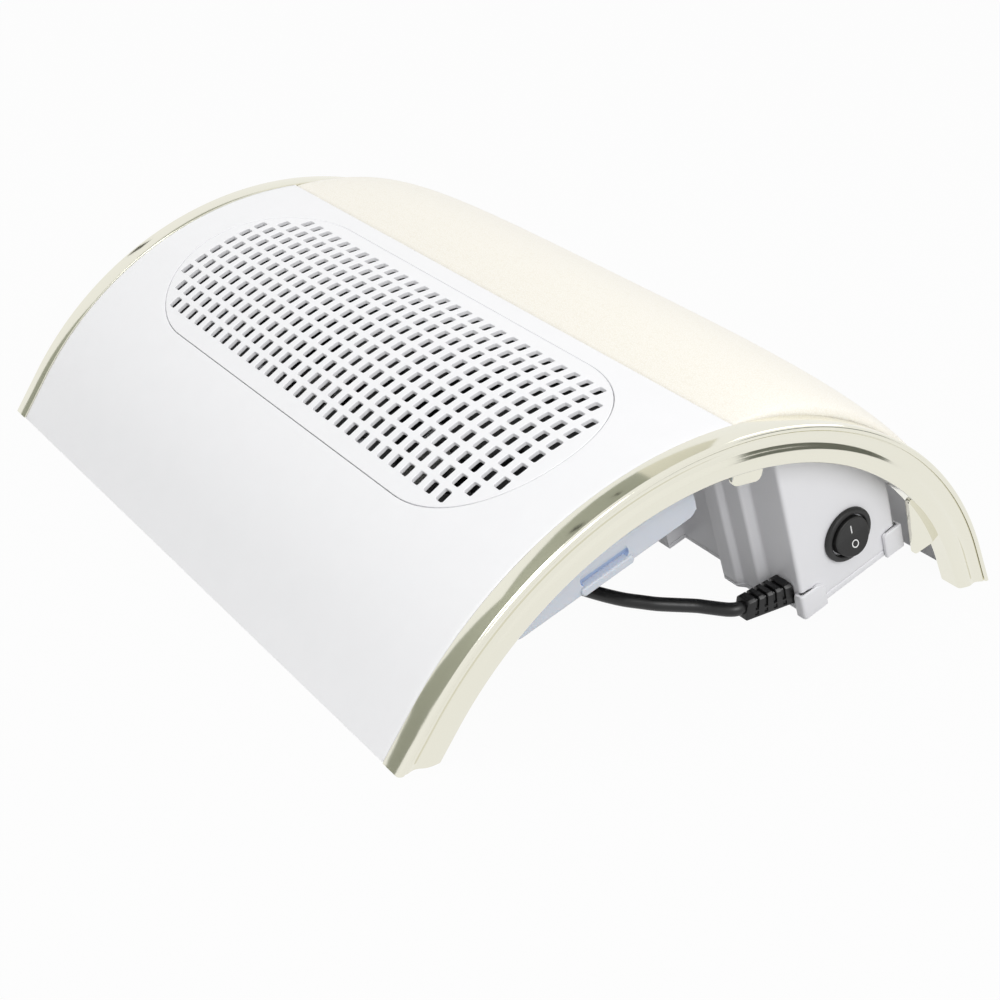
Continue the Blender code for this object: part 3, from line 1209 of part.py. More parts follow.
def coil_points():
    """The coil's centreline: the lower layer spirals in, the lead climbs in the half turn where the spiral
    reverses, and the upper layer spirals out to a straight tail."""
    turns = 2 * COIL_LAYER_TURNS
    count = turns * COIL_POINTS_PER_TURN
    turn = np.arange(count + 1) / COIL_POINTS_PER_TURN
    depth = COIL_LAYER_TURNS - np.abs(turn - COIL_LAYER_TURNS)
    radius = COIL_RADIUS - COIL_PITCH * depth
    climb = np.clip((turn - COIL_LAYER_TURNS) * 2 + 0.5, 0, 1)
    height = COIL_HEIGHT + COIL_PITCH * climb ** 2 * (3 - 2 * climb)
    angle = -math.pi / 2 - math.tau * turn
    x, y = COIL_CENTRE
    points = np.stack([x + radius * np.cos(angle), y + radius * np.sin(angle), height], -1)
    start = points[0] + np.array([2 * CORD_RADIUS, 0, 0])
    return np.vstack([start, points, points[-1] + np.array(COIL_TAIL)])


def least_gap(points, diameter, near):
    """The least distance between two surfaces of a tube, apart from points that follow each other closely."""
    apart = np.linalg.norm(points[:, None] - points[None], axis=2)
    index = np.arange(len(points))
    apart[np.abs(index[:, None] - index[None]) < near] = np.inf
    return apart.min() - diameter


def mains_lead(rubber):
    """The lead from the relief's tip to the coil, the coil, and the tie that holds it."""
    coil = coil_points()
    tip, forward = relief_line()[3], Vector((0, -1, 0))
    joint = coil[0] + np.array([GAP, 0, 0])
    x, y = COIL_CENTRE[0], COIL_CENTRE[1] - COIL_RADIUS
    between = [(tip.x + (x - tip.x) * share_x, tip.y + (y - tip.y) * share_y, height)
               for share_x, share_y, height in CORD_SHARES]
    route = np.array([tip + forward * GAP, tip + forward * CORD_RADIUS / 2, *between, joint])
    place(tube(route, CORD_RADIUS, 2), "power_cord", rubber)
    place(tube(coil, CORD_RADIUS, 1), "cord_coil", rubber)
    apart = least_gap(coil, 2 * CORD_RADIUS, COIL_POINTS_PER_TURN // 2)
    print("coil: least gap to itself", round(apart / MM, 2), "mm")
    free = np.linalg.norm(np.diff(route, axis=0), axis=1).sum()
    wound = np.linalg.norm(np.diff(coil, axis=0), axis=1).sum()
    print("lead: free", round(free / MM), "mm, wound", round(wound / MM), "mm")

    left = COIL_CENTRE[0] - COIL_RADIUS
    side, lift = CORD_RADIUS + TIE_CLEARANCE, CORD_RADIUS + GAP
    low = (left - side, COIL_HEIGHT - lift)
    high = (left + COIL_PITCH * COIL_LAYER_TURNS + side, COIL_HEIGHT + COIL_PITCH + lift)
    loops = []
    for skin in (TIE_THICKNESS, 0):
        loops.append([(low[0] - skin, low[1] - skin), (high[0] + skin, low[1] - skin),
                      (high[0] + skin, high[1] + skin), (low[0] - skin, high[1] + skin)])
    middle = COIL_CENTRE[1]
    strap = plate(loops[0], middle - TIE_WIDTH / 2, middle + TIE_WIDTH / 2, ALONG_U, loops[1:])
    place(strap, "cord_tie", rubber)
    return coil[-1]


def plug(end, rubber, brass):
    """A two-pin plug in line with the coil's tail: a tapered body, and its pins."""
    x, y, z = end
    start = x - GAP
    rings = []
    for share, width, height in PLUG_SHARES:
        half_width, half_height = PLUG_WIDTH * width / 2, PLUG_HEIGHT * height / 2
        corner = min(half_width, half_height) * PLUG_CORNER_SHARE
        outline = rounded_box((y - half_width, z - half_height), (y + half_width, z + half_height), corner, 2)
        rings.append([(start - PLUG_LENGTH * share, a, b) for a, b in outline])
    place(loft(rings, "plug_body"), "plug_body", rubber)
    face = start - PLUG_LENGTH - GAP
    for number, side in enumerate((-1, 1), 1):
        pin_y = y + side * PIN_SPACING / 2
        pin = rod(PIN_RADIUS, (face, pin_y, z), (face - PIN_LENGTH, pin_y, z), 10)
        place(pin, f"plug_pin_{number}", brass)


def main():
    clear_scene()
    tilted = bpy.data.objects.new("tilted_frame", None)
    tilted.location = (0, 0, -DROP)
    tilted.rotation_euler = (TILT, 0, 0)
    parts.objects.link(tilted)

    white = finish("white_abs", (0.86, 0.86, 0.88), 0.35)
    cream = finish("cream_leatherette", (0.9, 0.86, 0.76), 0.5)
    metal = finish("champagne_chrome", (0.75, 0.72, 0.58), 0.15, 1.0)
    grey = finish("light_grey_abs", (0.62, 0.62, 0.66), 0.4)
    blue = finish("translucent_blue", (0.5, 0.58, 0.72), 0.3)
    black = finish("black_nylon", (0.01, 0.01, 0.011), 0.35)
    rubber = finish("black_pvc", (0.008, 0.008, 0.009), 0.45)
    felt = finish("filter_felt", (0.8, 0.8, 0.78), 0.95)
    steel = finish("zinc_steel", (0.6, 0.6, 0.62), 0.3, 1.0)
    green = finish("circuit_board", (0.02, 0.16, 0.05), 0.5)
    brass = finish("nickel_brass", (0.6, 0.56, 0.45), 0.25, 1.0)

    arch_shell(white)
    grille_panel(white)
    hand_rest_pad(cream)
    end_trim("trim_left", -1, metal)
    end_trim("trim_right", 1, metal)
    fan_housing(grey, tilted)
    for number, x in enumerate(fan_places(), 1):
        fan(number, x, black, tilted)
    fan_screws(steel, tilted)
    drawer_housing(grey, tilted)
    dust_drawer(blue, tilted)
    drawer_filter(felt, tilted)
    control_box(grey, tilted)
    bottom_plate(grey, tilted)
    rear_housing(grey, tilted)
    rear_cover(grey, tilted)
    corner_screws("box_screw", box_screw_places(), BOX_BOTTOM, steel, tilted)
    corner_screws("cover_screw", cover_screw_places(), REAR_BOTTOM, steel, tilted)
    supply(tilted, green, steel, black)
    leads(tilted, rubber)
    rocker_switch(tilted, black)
    strain_relief(rubber)
    plug(mains_lead(rubber), rubber, brass)


main()
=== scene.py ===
import math

import bmesh
import bpy
import numpy as np
from mathutils import Matrix, Vector
from mathutils.geometry import delaunay_2d_cdt


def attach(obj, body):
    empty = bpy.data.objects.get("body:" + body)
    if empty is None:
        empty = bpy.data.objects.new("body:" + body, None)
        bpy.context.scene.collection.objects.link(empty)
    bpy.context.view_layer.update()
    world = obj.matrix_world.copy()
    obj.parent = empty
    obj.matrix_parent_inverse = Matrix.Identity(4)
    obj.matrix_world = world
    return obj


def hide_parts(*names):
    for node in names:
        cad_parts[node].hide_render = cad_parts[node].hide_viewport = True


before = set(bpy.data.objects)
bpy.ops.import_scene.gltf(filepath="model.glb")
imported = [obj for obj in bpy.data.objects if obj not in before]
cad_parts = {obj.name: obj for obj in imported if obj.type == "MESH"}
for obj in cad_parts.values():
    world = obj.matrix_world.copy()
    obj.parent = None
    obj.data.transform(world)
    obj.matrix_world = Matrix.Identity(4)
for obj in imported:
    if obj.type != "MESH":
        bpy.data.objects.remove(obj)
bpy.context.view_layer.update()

mm = 0.001

# Frame of the arch: its outer radius, the 60 degree arc, and the short straight leg at either foot
arch = {
    "radius": 152.6 * mm,
    "halfSpan": 142.5 * mm,
    "legAngle": math.radians(60),
    "end": 166.25 * mm,
    "tilt": math.radians(22.6),
    "grilleAlong": -61.4 * mm,
}
arcReach = arch["radius"] * arch["legAngle"]
legLength = (arch["halfSpan"] - arch["radius"] * math.sin(arch["legAngle"])) / math.cos(arch["legAngle"])
drop = arch["radius"] * math.cos(arch["legAngle"]) - legLength * math.sin(arch["legAngle"])
tilted = Matrix.Translation((0, 0, -drop)) @ Matrix.Rotation(arch["tilt"], 4, "X")


# ---- camera

def placeCamera():
    cameraSetup = {
        "place": (0.56001, -0.40361, 0.33280),
        "right": (0.56918, 0.81943, 0.06765),
        "up": (-0.39560, 0.20079, 0.89621),
        "back": (0.72079, -0.53686, 0.43845),
        "lens": 63.41,
        "sensor": 36,
    }
    data = bpy.data.cameras.new("photoCamera")
    data.lens = cameraSetup["lens"]
    data.sensor_width = cameraSetup["sensor"]
    data.clip_start = 0.01
    camera = bpy.data.objects.new("photoCamera", data)
    turn = Matrix((cameraSetup["right"], cameraSetup["up"], cameraSetup["back"])).transposed()
    camera.matrix_world = Matrix.Translation(cameraSetup["place"]) @ turn.to_4x4()
    bpy.context.scene.collection.objects.link(camera)
    bpy.context.scene.camera = camera


placeCamera()
print("camera placed")


# ---- helpers for colour, nodes and meshes

def linear(hexColour, alpha=1.0):
    # sRGB hex to linear
    values = np.array([int(hexColour[i:i + 2], 16) for i in (1, 3, 5)]) / 255
    flat = np.where(values <= 0.04045, values / 12.92, ((values + 0.055) / 1.055) ** 2.4)
    return (*flat.tolist(), alpha)


def addNode(tree, kind, settings=None, links=None):
    # settings go to the node's own options or to its inputs, links join another node's output to an input
    node = tree.nodes.new(kind)
    for name, value in (settings or {}).items():
        if isinstance(name, str) and name in node.bl_rna.properties:
            setattr(node, name, value)
        else:
            node.inputs[name].default_value = value
    for name, socket in (links or {}).items():
        tree.links.new(socket, node.inputs[name])
    return node


def newMaterial(name, shaderValues):
    material = bpy.data.materials.new(name)
    material.use_nodes = True
    tree = material.node_tree
    shader = tree.nodes["Principled BSDF"]
    for key, value in shaderValues.items():
        shader.inputs[key].default_value = value
    return material, tree, shader


def onArch(x, radius, along):
    # a point at this radius from the arch's axis, turned by its distance round the outer surface; past the arc it
    # goes straight down the leg to the table
    x, radius, along = np.broadcast_arrays(x, radius, along)
    side = np.where(along < 0, -1.0, 1.0)
    turn = np.clip(along / arch["radius"], -arch["legAngle"], arch["legAngle"])
    most = (radius * math.cos(arch["legAngle"]) - drop) / math.sin(arch["legAngle"])
    leg = np.minimum(np.maximum(np.abs(along) - arcReach, 0), most)
    y = radius * np.sin(turn) + side * leg * math.cos(arch["legAngle"])
    z = radius * np.cos(turn) - drop - leg * math.sin(arch["legAngle"])
    return np.stack([x, y, z], -1)


def footAlong(radius):
    # how far round a surface of this radius meets the table
    return arcReach + (radius * math.cos(arch["legAngle"]) - drop) / math.sin(arch["legAngle"])


def moved(points, matrix):
    # every point through a 4 by 4 matrix
    turn = np.array(matrix)
    return points @ turn[:3, :3].T + turn[:3, 3]


def patchFaces(rows, columns, wrapRows, wrapColumns):
    # the quads of a grid of points, closed round in either direction where asked
    i = np.arange(rows if wrapRows else rows - 1)[:, None]
    j = np.arange(columns if wrapColumns else columns - 1)[None]
    a, b = i * columns + j, i * columns + (j + 1) % columns
    c, d = (i + 1) % rows * columns + (j + 1) % columns, (i + 1) % rows * columns + j
    return np.stack([a, b, c, d], -1).reshape(-1, 4)


def signedVolume(points, quads):
    a, b, c, d = (points[quads[:, k]] for k in range(4))
    return (np.cross(a, b) * c).sum() + (np.cross(a, c) * d).sum()


def makePiece(name, patches, material, body, replaced=(), sharpAngle=38, outward=True):
    # patches are (grid of points, wrapRows, wrapColumns, capped): a capped one has a flat face on its first and last
    # row. Each is closed, and is turned outwards by the sign of its volume
    allPoints, allFaces, start = [], [], 0
    for grid, wrapRows, wrapColumns, capped in patches:
        rows, columns = grid.shape[:2]
        points = grid.reshape(-1, 3)
        quads = patchFaces(rows, columns, wrapRows, wrapColumns)
        flip = outward and signedVolume(points - points.mean(0), quads) < 0
        faces = [quads[:, ::-1] if flip else quads]
        allPoints.append(points)
        allFaces += (faces[0] + start).tolist()
        if capped:
            first = np.arange(columns)[::-1] + start
            last = np.arange(columns) + (rows - 1) * columns + start
            allFaces += [(first[::-1] if flip else first).tolist(), (last[::-1] if flip else last).tolist()]
        start += len(points)
    mesh = bpy.data.meshes.new(name)
    mesh.from_pydata(np.vstack(allPoints).tolist(), [], allFaces)
    mesh.polygons.foreach_set("use_smooth", np.ones(len(mesh.polygons), bool))
    mesh.set_sharp_from_angle(angle=math.radians(sharpAngle))
    mesh.validate()
    mesh.update()
    return addPiece(name, mesh, material, body, replaced)


def addPiece(name, data, material, body, replaced=()):
    piece = bpy.data.objects.new(name, data)
    data.materials.append(material)
    bpy.context.scene.collection.objects.link(piece)
    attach(piece, body)
    if replaced:
        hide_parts(*replaced)
    return piece


def roundedOutline(low, high, corner, steps=6, perSide=1):
    # a rectangle with quarter circles at its corners, anticlockwise
    centres = [(high[0] - corner, high[1] - corner), (low[0] + corner, high[1] - corner),
               (low[0] + corner, low[1] + corner), (high[0] - corner, low[1] + corner)]
    turns = np.linspace(0, math.pi / 2, steps + 1)
    outline = [np.stack([centre[0] + corner * np.cos(turns + k * math.pi / 2),
                         centre[1] + corner * np.sin(turns + k * math.pi / 2)], -1) for k, centre in enumerate(centres)]
    outline = np.vstack(outline)
    if perSide > 1:   # extra points along the straight sides
        share = np.arange(perSide) / perSide
        filled = []
        for k in range(len(outline)):
            following = outline[(k + 1) % len(outline)]
            if (k + 1) % (steps + 1) == 0:
                filled.append(outline[k] + (following - outline[k]) * share[:, None])
            else:
                filled.append(outline[k][None])
        outline = np.vstack(filled)
    return outline


def roundCorners(outline, radius, steps=4):
    # each corner of an outline replaced by a quadratic curve that leaves and meets its sides; radius is one value or
    # one for each corner
    outline = np.array(outline, float)
    before, after = np.roll(outline, 1, 0) - outline, np.roll(outline, -1, 0) - outline
    rounded = []
    for corner, a, b, size in zip(outline, before, after, np.broadcast_to(radius, len(outline))):
        la, lb = np.linalg.norm(a), np.linalg.norm(b)
        a, b = a / la, b / lb
        most = min(la, lb) * 0.45
        reach = np.clip(size / math.tan(max(math.acos(np.clip(a @ b, -1, 1)) / 2, 0.1)), most * 0.05, most)
        for t in np.linspace(0, 1, steps + 1):
            rounded.append(corner + a * reach * (1 - t) ** 2 + b * reach * t ** 2)
    return np.array(rounded)


def inset(outline, distance):
    # an outline drawn in by a distance along its corner normals
    before, after = np.roll(outline, 1, 0), np.roll(outline, -1, 0)
    a, b = outline - before, after - outline
    a /= np.linalg.norm(a, axis=1)[:, None]
    b /= np.linalg.norm(b, axis=1)[:, None]
    normal = np.stack([-(a + b)[:, 1], (a + b)[:, 0]], -1)
    normal /= np.linalg.norm(normal, axis=1)[:, None]
    share = np.maximum((normal * np.stack([-a[:, 1], a[:, 0]], -1)).sum(1), 0.3)
    return outline + normal * (distance / share)[:, None]


def slab(outline, low, high, bevel, order="xun", steps=3):
    # a flat outline with thickness and rounded edges. order names the axes of (first, second, thickness)
    turns = np.linspace(0, math.pi / 2, steps + 1)
    rows = [(bevel * (1 - math.sin(t)), low + bevel * (1 - math.cos(t))) for t in turns]
    rows += [(bevel * (1 - math.cos(t)), high - bevel * (1 - math.sin(t))) for t in turns]
    rows = [(bevel * 1.15, low), *rows, (bevel * 1.15, high)]      # these two keep the shading of the flat faces even
    grid = np.stack([np.column_stack([inset(outline, draw), np.full(len(outline), height)]) for draw, height in rows])
    axes = {"xun": (0, 1, 2), "unx": (2, 0, 1), "xnu": (0, 2, 1)}[order]
    return moved(grid[..., list(axes)], tilted), False, True, True


def boxPatch(low, high, bevel=0.3 * mm):
    # a box in the tilted frame with rounded edges, from corner to corner
    return slab(roundedOutline(low[:2], high[:2], bevel * 1.01, 2), low[2], high[2], bevel, steps=2)


def lathe(profile, matrix, steps=64):
    # a profile of (radius, height) turned round the Z axis of a matrix; both ends on the axis or a closed loop
    turns = np.linspace(0, math.tau, steps, endpoint=False)
    profile = np.array(profile)
    radius, height = profile[:, 0][:, None], profile[:, 1][:, None]
    grid = np.stack([radius * np.cos(turns), radius * np.sin(turns), np.broadcast_to(height, (len(profile), steps))], -1)
    return moved(grid, matrix)


# ---- finishes

def mouldedAbs(name, colour, roughness, grain=0.02, tone=0.012):
    # injection moulded ABS: even satin gloss, a faint orange peel from the mould, almost no colour change
    absLook = {"ior": 1.46, "peelScale": 90, "sparkScale": 2600}
    material, tree, shader = newMaterial(name, {"Base Color": linear(colour), "Roughness": roughness,
                                                "IOR": absLook["ior"]})
    coords = addNode(tree, "ShaderNodeTexCoord")
    wide = addNode(tree, "ShaderNodeTexNoise", {"Scale": absLook["peelScale"], "Detail": 2.0},
                   {"Vector": coords.outputs["Object"]})
    fine = addNode(tree, "ShaderNodeTexNoise", {"Scale": absLook["sparkScale"], "Detail": 3.0},
                   {"Vector": coords.outputs["Object"]})
    mixed = addNode(tree, "ShaderNodeMath", {"operation": "MULTIPLY_ADD", 1: 0.35},
                    {0: fine.outputs["Fac"], 2: wide.outputs["Fac"]})
    bump = addNode(tree, "ShaderNodeBump", {"Strength": grain, "Distance": 0.4 * mm}, {"Height": mixed.outputs[0]})
    tree.links.new(bump.outputs["Normal"], shader.inputs["Normal"])
    shade = addNode(tree, "ShaderNodeMapRange", {"To Min": 1 - tone, "To Max": 1 + tone}, {"Value": wide.outputs["Fac"]})
    tint = addNode(tree, "ShaderNodeVectorMath", {"operation": "SCALE", 0: linear(colour)[:3]},
                   {"Scale": shade.outputs["Result"]})
    tree.links.new(tint.outputs["Vector"], shader.inputs["Base Color"])
    rough = addNode(tree, "ShaderNodeMapRange", {"To Min": roughness - 0.04, "To Max": roughness + 0.05},
                    {"Value": fine.outputs["Fac"]})
    tree.links.new(rough.outputs["Result"], shader.inputs["Roughness"])
    return material


def creamLeatherette():
    # PVC leatherette over foam: soft satin, a pebble grain of about 0.9 mm, tone a little deeper in its valleys
    vinyl = {"colour": "#f2efe7", "valley": "#ebe6da", "roughness": 0.46, "pebble": 0.9, "depth": 0.10}
    material, tree, shader = newMaterial("creamLeatherette", {"Roughness": vinyl["roughness"], "IOR": 1.5,
                                                              "Sheen Weight": 0.06})
    coords = addNode(tree, "ShaderNodeTexCoord")
    cells = addNode(tree, "ShaderNodeTexVoronoi", {"feature": "DISTANCE_TO_EDGE", "Scale": 1000 / vinyl["pebble"]},
                    {"Vector": coords.outputs["Object"]})
    pebbles = addNode(tree, "ShaderNodeMapRange", {"From Max": 0.18}, {"Value": cells.outputs["Distance"]})
    soft = addNode(tree, "ShaderNodeTexNoise", {"Scale": 38.0, "Detail": 3.0}, {"Vector": coords.outputs["Object"]})
    height = addNode(tree, "ShaderNodeMath", {"operation": "MULTIPLY_ADD", 1: 0.5},
                     {0: soft.outputs["Fac"], 2: pebbles.outputs["Result"]})
    bump = addNode(tree, "ShaderNodeBump", {"Strength": vinyl["depth"], "Distance": 0.25 * mm},
                   {"Height": height.outputs[0]})
    tree.links.new(bump.outputs["Normal"], shader.inputs["Normal"])
    colour = addNode(tree, "ShaderNodeMix", {"data_type": "RGBA", 6: linear(vinyl["valley"]), 7: linear(vinyl["colour"])},
                     {0: pebbles.outputs["Result"]})
    tree.links.new(colour.outputs[2], shader.inputs["Base Color"])
    return material


def champagneChrome():
    # vacuum metallised ABS: a bright mirror with a warm tint, softened by a faint wave of the plastic below
    plating = {"colour": "#e9e7d9", "roughness": 0.09, "waveScale": 45}
    material, tree, shader = newMaterial("champagneChrome", {"Base Color": linear(plating["colour"]), "Metallic": 1.0,
                                                             "Roughness": plating["roughness"]})
    coords = addNode(tree, "ShaderNodeTexCoord")
    wave = addNode(tree, "ShaderNodeTexNoise", {"Scale": plating["waveScale"], "Detail": 2.0},
                   {"Vector": coords.outputs["Object"]})
    bump = addNode(tree, "ShaderNodeBump", {"Strength": 0.08, "Distance": 1.2 * mm}, {"Height": wave.outputs["Fac"]})
    tree.links.new(bump.outputs["Normal"], shader.inputs["Normal"])
    rough = addNode(tree, "ShaderNodeMapRange", {"To Min": plating["roughness"] - 0.03, "To Max": plating["roughness"] + 0.04},
                    {"Value": wave.outputs["Fac"]})
    tree.links.new(rough.outputs["Result"], shader.inputs["Roughness"])
    return material


def translucentBlue(name, colour, depth):
    # tinted polypropylene: light scatters inside it, so its edges glow and it never looks hard
    material, tree, shader = newMaterial(name, {"Base Color": linear(colour), "Roughness": 0.33, "IOR": 1.49,
                                                "Subsurface Weight": depth, "Subsurface Scale": 2 * mm,
                                                "Subsurface Radius": (0.5, 0.8, 1.0)})
    coords = addNode(tree, "ShaderNodeTexCoord")
    cloud = addNode(tree, "ShaderNodeTexNoise", {"Scale": 60.0, "Detail": 2.0}, {"Vector": coords.outputs["Object"]})
    bump = addNode(tree, "ShaderNodeBump", {"Strength": 0.04, "Distance": 0.5 * mm}, {"Height": cloud.outputs["Fac"]})
    tree.links.new(bump.outputs["Normal"], shader.inputs["Normal"])
    return material


def blackPlastic(name, colour, roughness, scale, strength):
    # carbon-black nylon or PVC: dark, with a spark-eroded or extruded skin that breaks up the gloss
    material, tree, shader = newMaterial(name, {"Base Color": linear(colour), "Roughness": roughness, "IOR": 1.5})
    coords = addNode(tree, "ShaderNodeTexCoord")
    skin = addNode(tree, "ShaderNodeTexNoise", {"Scale": scale, "Detail": 3.0}, {"Vector": coords.outputs["Object"]})
    bump = addNode(tree, "ShaderNodeBump", {"Strength": strength, "Distance": 0.15 * mm}, {"Height": skin.outputs["Fac"]})
    tree.links.new(bump.outputs["Normal"], shader.inputs["Normal"])
    rough = addNode(tree, "ShaderNodeMapRange", {"To Min": roughness - 0.06, "To Max": roughness + 0.08},
                    {"Value": skin.outputs["Fac"]})
    tree.links.new(rough.outputs["Result"], shader.inputs["Roughness"])
    return material


def platedMetal(name, colour, roughness, scale):
    # zinc, nickel or enamelled copper: bright metal with a fine directionless haze
    material, tree, shader = newMaterial(name, {"Base Color": linear(colour), "Metallic": 1.0, "Roughness": roughness})
    coords = addNode(tree, "ShaderNodeTexCoord")
    haze = addNode(tree, "ShaderNodeTexNoise", {"Scale": scale, "Detail": 4.0}, {"Vector": coords.outputs["Object"]})
    rough = addNode(tree, "ShaderNodeMapRange", {"To Min": roughness - 0.08, "To Max": roughness + 0.12},
                    {"Value": haze.outputs["Fac"]})
    tree.links.new(rough.outputs["Result"], shader.inputs["Roughness"])
    return material


def filterFelt():
    # needled polyester felt: matt, with fibres of about 0.4 mm that catch light at random
    material, tree, shader = newMaterial("needledFelt", {"Roughness": 0.95, "Sheen Weight": 0.3})
    coords = addNode(tree, "ShaderNodeTexCoord")
    fibres = addNode(tree, "ShaderNodeTexNoise", {"Scale": 2500.0, "Detail": 4.0, "Distortion": 1.5},
                     {"Vector": coords.outputs["Object"]})
    bump = addNode(tree, "ShaderNodeBump", {"Strength": 0.6, "Distance": 0.4 * mm}, {"Height": fibres.outputs["Fac"]})
    tree.links.new(bump.outputs["Normal"], shader.inputs["Normal"])
    colour = addNode(tree, "ShaderNodeMix", {"data_type": "RGBA", 6: linear("#cfcfca"), 7: linear("#ecece8")},
                     {0: fibres.outputs["Fac"]})
    tree.links.new(colour.outputs[2], shader.inputs["Base Color"])
    return material


def solderMask():
    # green solder mask over copper: glossy, with lighter tracks under it about 2 mm apart
    material, tree, shader = newMaterial("solderMask", {"Roughness": 0.3})
    coords = addNode(tree, "ShaderNodeTexCoord")
    tracks = addNode(tree, "ShaderNodeTexBrick", {"Color1": linear("#1d6a35"), "Color2": linear("#1a5f30"),
                                                  "Mortar": linear("#2c8a4a"), "Scale": 250.0}, {"Vector": coords.outputs["Object"]})
    tree.links.new(tracks.outputs["Color"], shader.inputs["Base Color"])
    return material


whiteAbs = mouldedAbs("whiteAbs", "#ededef", 0.34)
greyAbs = mouldedAbs("lightGreyAbs", "#ebebee", 0.38, grain=0.03)
padVinyl = creamLeatherette()
trimPlating = champagneChrome()
drawerBlue = translucentBlue("tintedPolypropylene", "#cfd4dd", 0.35)
# a deeper blue for the lower part of the finger scoop: painted shade in the recess
scoopShadeBlue = translucentBlue("scoopShadePolypropylene", "#a6b9da", 0.25)
switchNylon = blackPlastic("switchNylon", "#171717", 0.5, 2200.0, 0.12)
fanNylon = blackPlastic("fanNylon", "#1a1a1b", 0.45, 1500.0, 0.15)
cordPvc = blackPlastic("cordPvc", "#101011", 0.36, 900.0, 0.10)
copperWinding = platedMetal("enamelledCopper", "#b5673a", 0.35, 800.0)
zincSteel = platedMetal("zincPlatedSteel", "#c9cbd0", 0.28, 500.0)
nickelBrass = platedMetal("nickelPlatedBrass", "#d8d3bf", 0.2, 400.0)
felt = filterFelt()
boardGreen = solderMask()
switchPaint = newMaterial("switchMarkPaint", {"Base Color": linear("#e8e8e8"), "Roughness": 0.5})[0]
print("finishes made")


# ---- mains lead: one curve from the strain relief through the coil to the plug

cordSizes = {
    "radius": 2.8 * mm,
    "root": (144.7, 69.8, 46.0),          # on the box's front wall, in the tilted frame, mm
    "sleeveSet": 0.3,
    "reliefEnd": (140.54, 28.26, 4.61),
    "route": [(139.9, 25.0, 4.35), (138.3, 23.2, 4.0), (135.9, 21.2, 3.7), (132.6, 18.6, 3.35), (129.1, 15.2, 3.15),
              (124.8, 8.8, 3.1), (120.7, 2.7, 3.1), (116.5, -1.9, 3.1), (112.3, -6.3, 3.1), (108, -9.6, 3.1),
              (103.4, -12.5, 3.1), (97.8, -15.5, 3.1), (91.6, -18.3, 3.1), (84.5, -21.8, 3.1), (77, -26.2, 3.1),
              (69, -31.6, 3.1), (61, -37.8, 3.1), (53, -44.6, 3.1), (45, -51.6, 3.1), (37.5, -58, 3.1),
              (30.5, -63.6, 3.3), (24.5, -67.9, 3.6), (19, -71.1, 3.9), (13.5, -72.85, 4.1)],
    "coilCentre": (0, -30),
    "coilRadius": 43,
    "coilPitch": 6.1,
    "layerTurns": 3,
    "coilHeight": 4.1,
    "tail": [(-8, 0, 0), (-15, -0.4, -0.2), (-22, -1.4, -0.9), (-29, -2.3, -2), (-36, -2.6, -2.8), (-43, -2.6, -3),
             (-49, -2.6, -3)],
    "pointsPerTurn": 60,
}


def reliefLine():
    outward = np.array(tilted.to_3x3() @ Vector((0, -1, 0)))
    wall = np.array(tilted @ Vector([v * mm for v in cordSizes["root"]]))
    return wall, outward, wall + outward * cordSizes["sleeveSet"] * mm, np.array(cordSizes["reliefEnd"]) * mm


def coilLine():
    # radius falls by one pitch a turn in the lower layer and grows again in the upper one; the height climbs one
    # pitch, eased, in the half turn where the spiral turns back
    turns = 2 * cordSizes["layerTurns"]
    turn = np.linspace(0, turns, turns * cordSizes["pointsPerTurn"] + 1)
    depth = cordSizes["layerTurns"] - np.abs(turn - cordSizes["layerTurns"])
    radius = cordSizes["coilRadius"] - cordSizes["coilPitch"] * depth
    climb = np.clip((turn - cordSizes["layerTurns"]) * 2 + 0.5, 0, 1)
    height = cordSizes["coilHeight"] + cordSizes["coilPitch"] * climb ** 2 * (3 - 2 * climb)
    angle = -math.pi / 2 - math.tau * turn
    x, y = cordSizes["coilCentre"]
    return np.stack([x + radius * np.cos(angle), y + radius * np.sin(angle), height], -1) * mm


def smoothLine(points, between):
    # Catmull-Rom: each stretch leaves and meets its points along the line through their neighbours
    known = np.vstack([2 * points[0] - points[1], points, 2 * points[-1] - points[-2]])
    t = np.linspace(0, 1, between, endpoint=False)[:, None]
    fine = [0.5 * (2 * b + (c - a) * t + (2 * a - 5 * b + 4 * c - d) * t ** 2 + (3 * b - a - 3 * c + d) * t ** 3)
            for a, b, c, d in zip(known[:-3], known[1:-2], known[2:-1], known[3:])]
    return np.vstack([*fine, points[-1:]])


def lineLength(points):
    return float(np.linalg.norm(np.diff(points, axis=0), axis=1).sum())


def makeLead():
    wall, outward, sleeveStart, sleeveEnd = reliefLine()
    coil = coilLine()
    tail = coil[-1] + np.array(cordSizes["tail"]) * mm
    start = sleeveEnd + np.array([0, 3 * mm, 0])      # hidden in the sleeve's mouth
    known = np.vstack([sleeveEnd, sleeveEnd - [0, 1.4 * mm, 0], np.array(cordSizes["route"]) * mm,
                       coil[0] + np.array([2 * cordSizes["radius"], 0, 0])])
    route = smoothLine(known, 5)
    points = np.vstack([start, route, coil, smoothLine(np.vstack([coil[-1], tail]), 4)[1:]])
    curve = bpy.data.curves.new("mainsLead", "CURVE")
    curve.dimensions = "3D"
    curve.bevel_depth = cordSizes["radius"]
    curve.bevel_resolution = 4
    curve.use_fill_caps = True
    spline = curve.splines.new("POLY")
    spline.points.add(len(points) - 1)
    spline.points.foreach_set("co", np.column_stack([points, np.ones(len(points))]).ravel())
    spline.use_smooth = True
    lead = addPiece("mainsLead", curve, cordPvc, "housing", ("power_cord", "cord_coil"))
    return lead, points, sleeveStart, sleeveEnd, outward, wall


lead, leadPoints, sleeveStart, sleeveEnd, wallOutward, wallPoint = makeLead()


def frameAlong(start, direction):
    # a matrix whose Z runs along a direction
    turn = Vector(direction).to_track_quat("Z", "Y").to_matrix().to_4x4()
    return Matrix.Translation(Vector(start)) @ turn


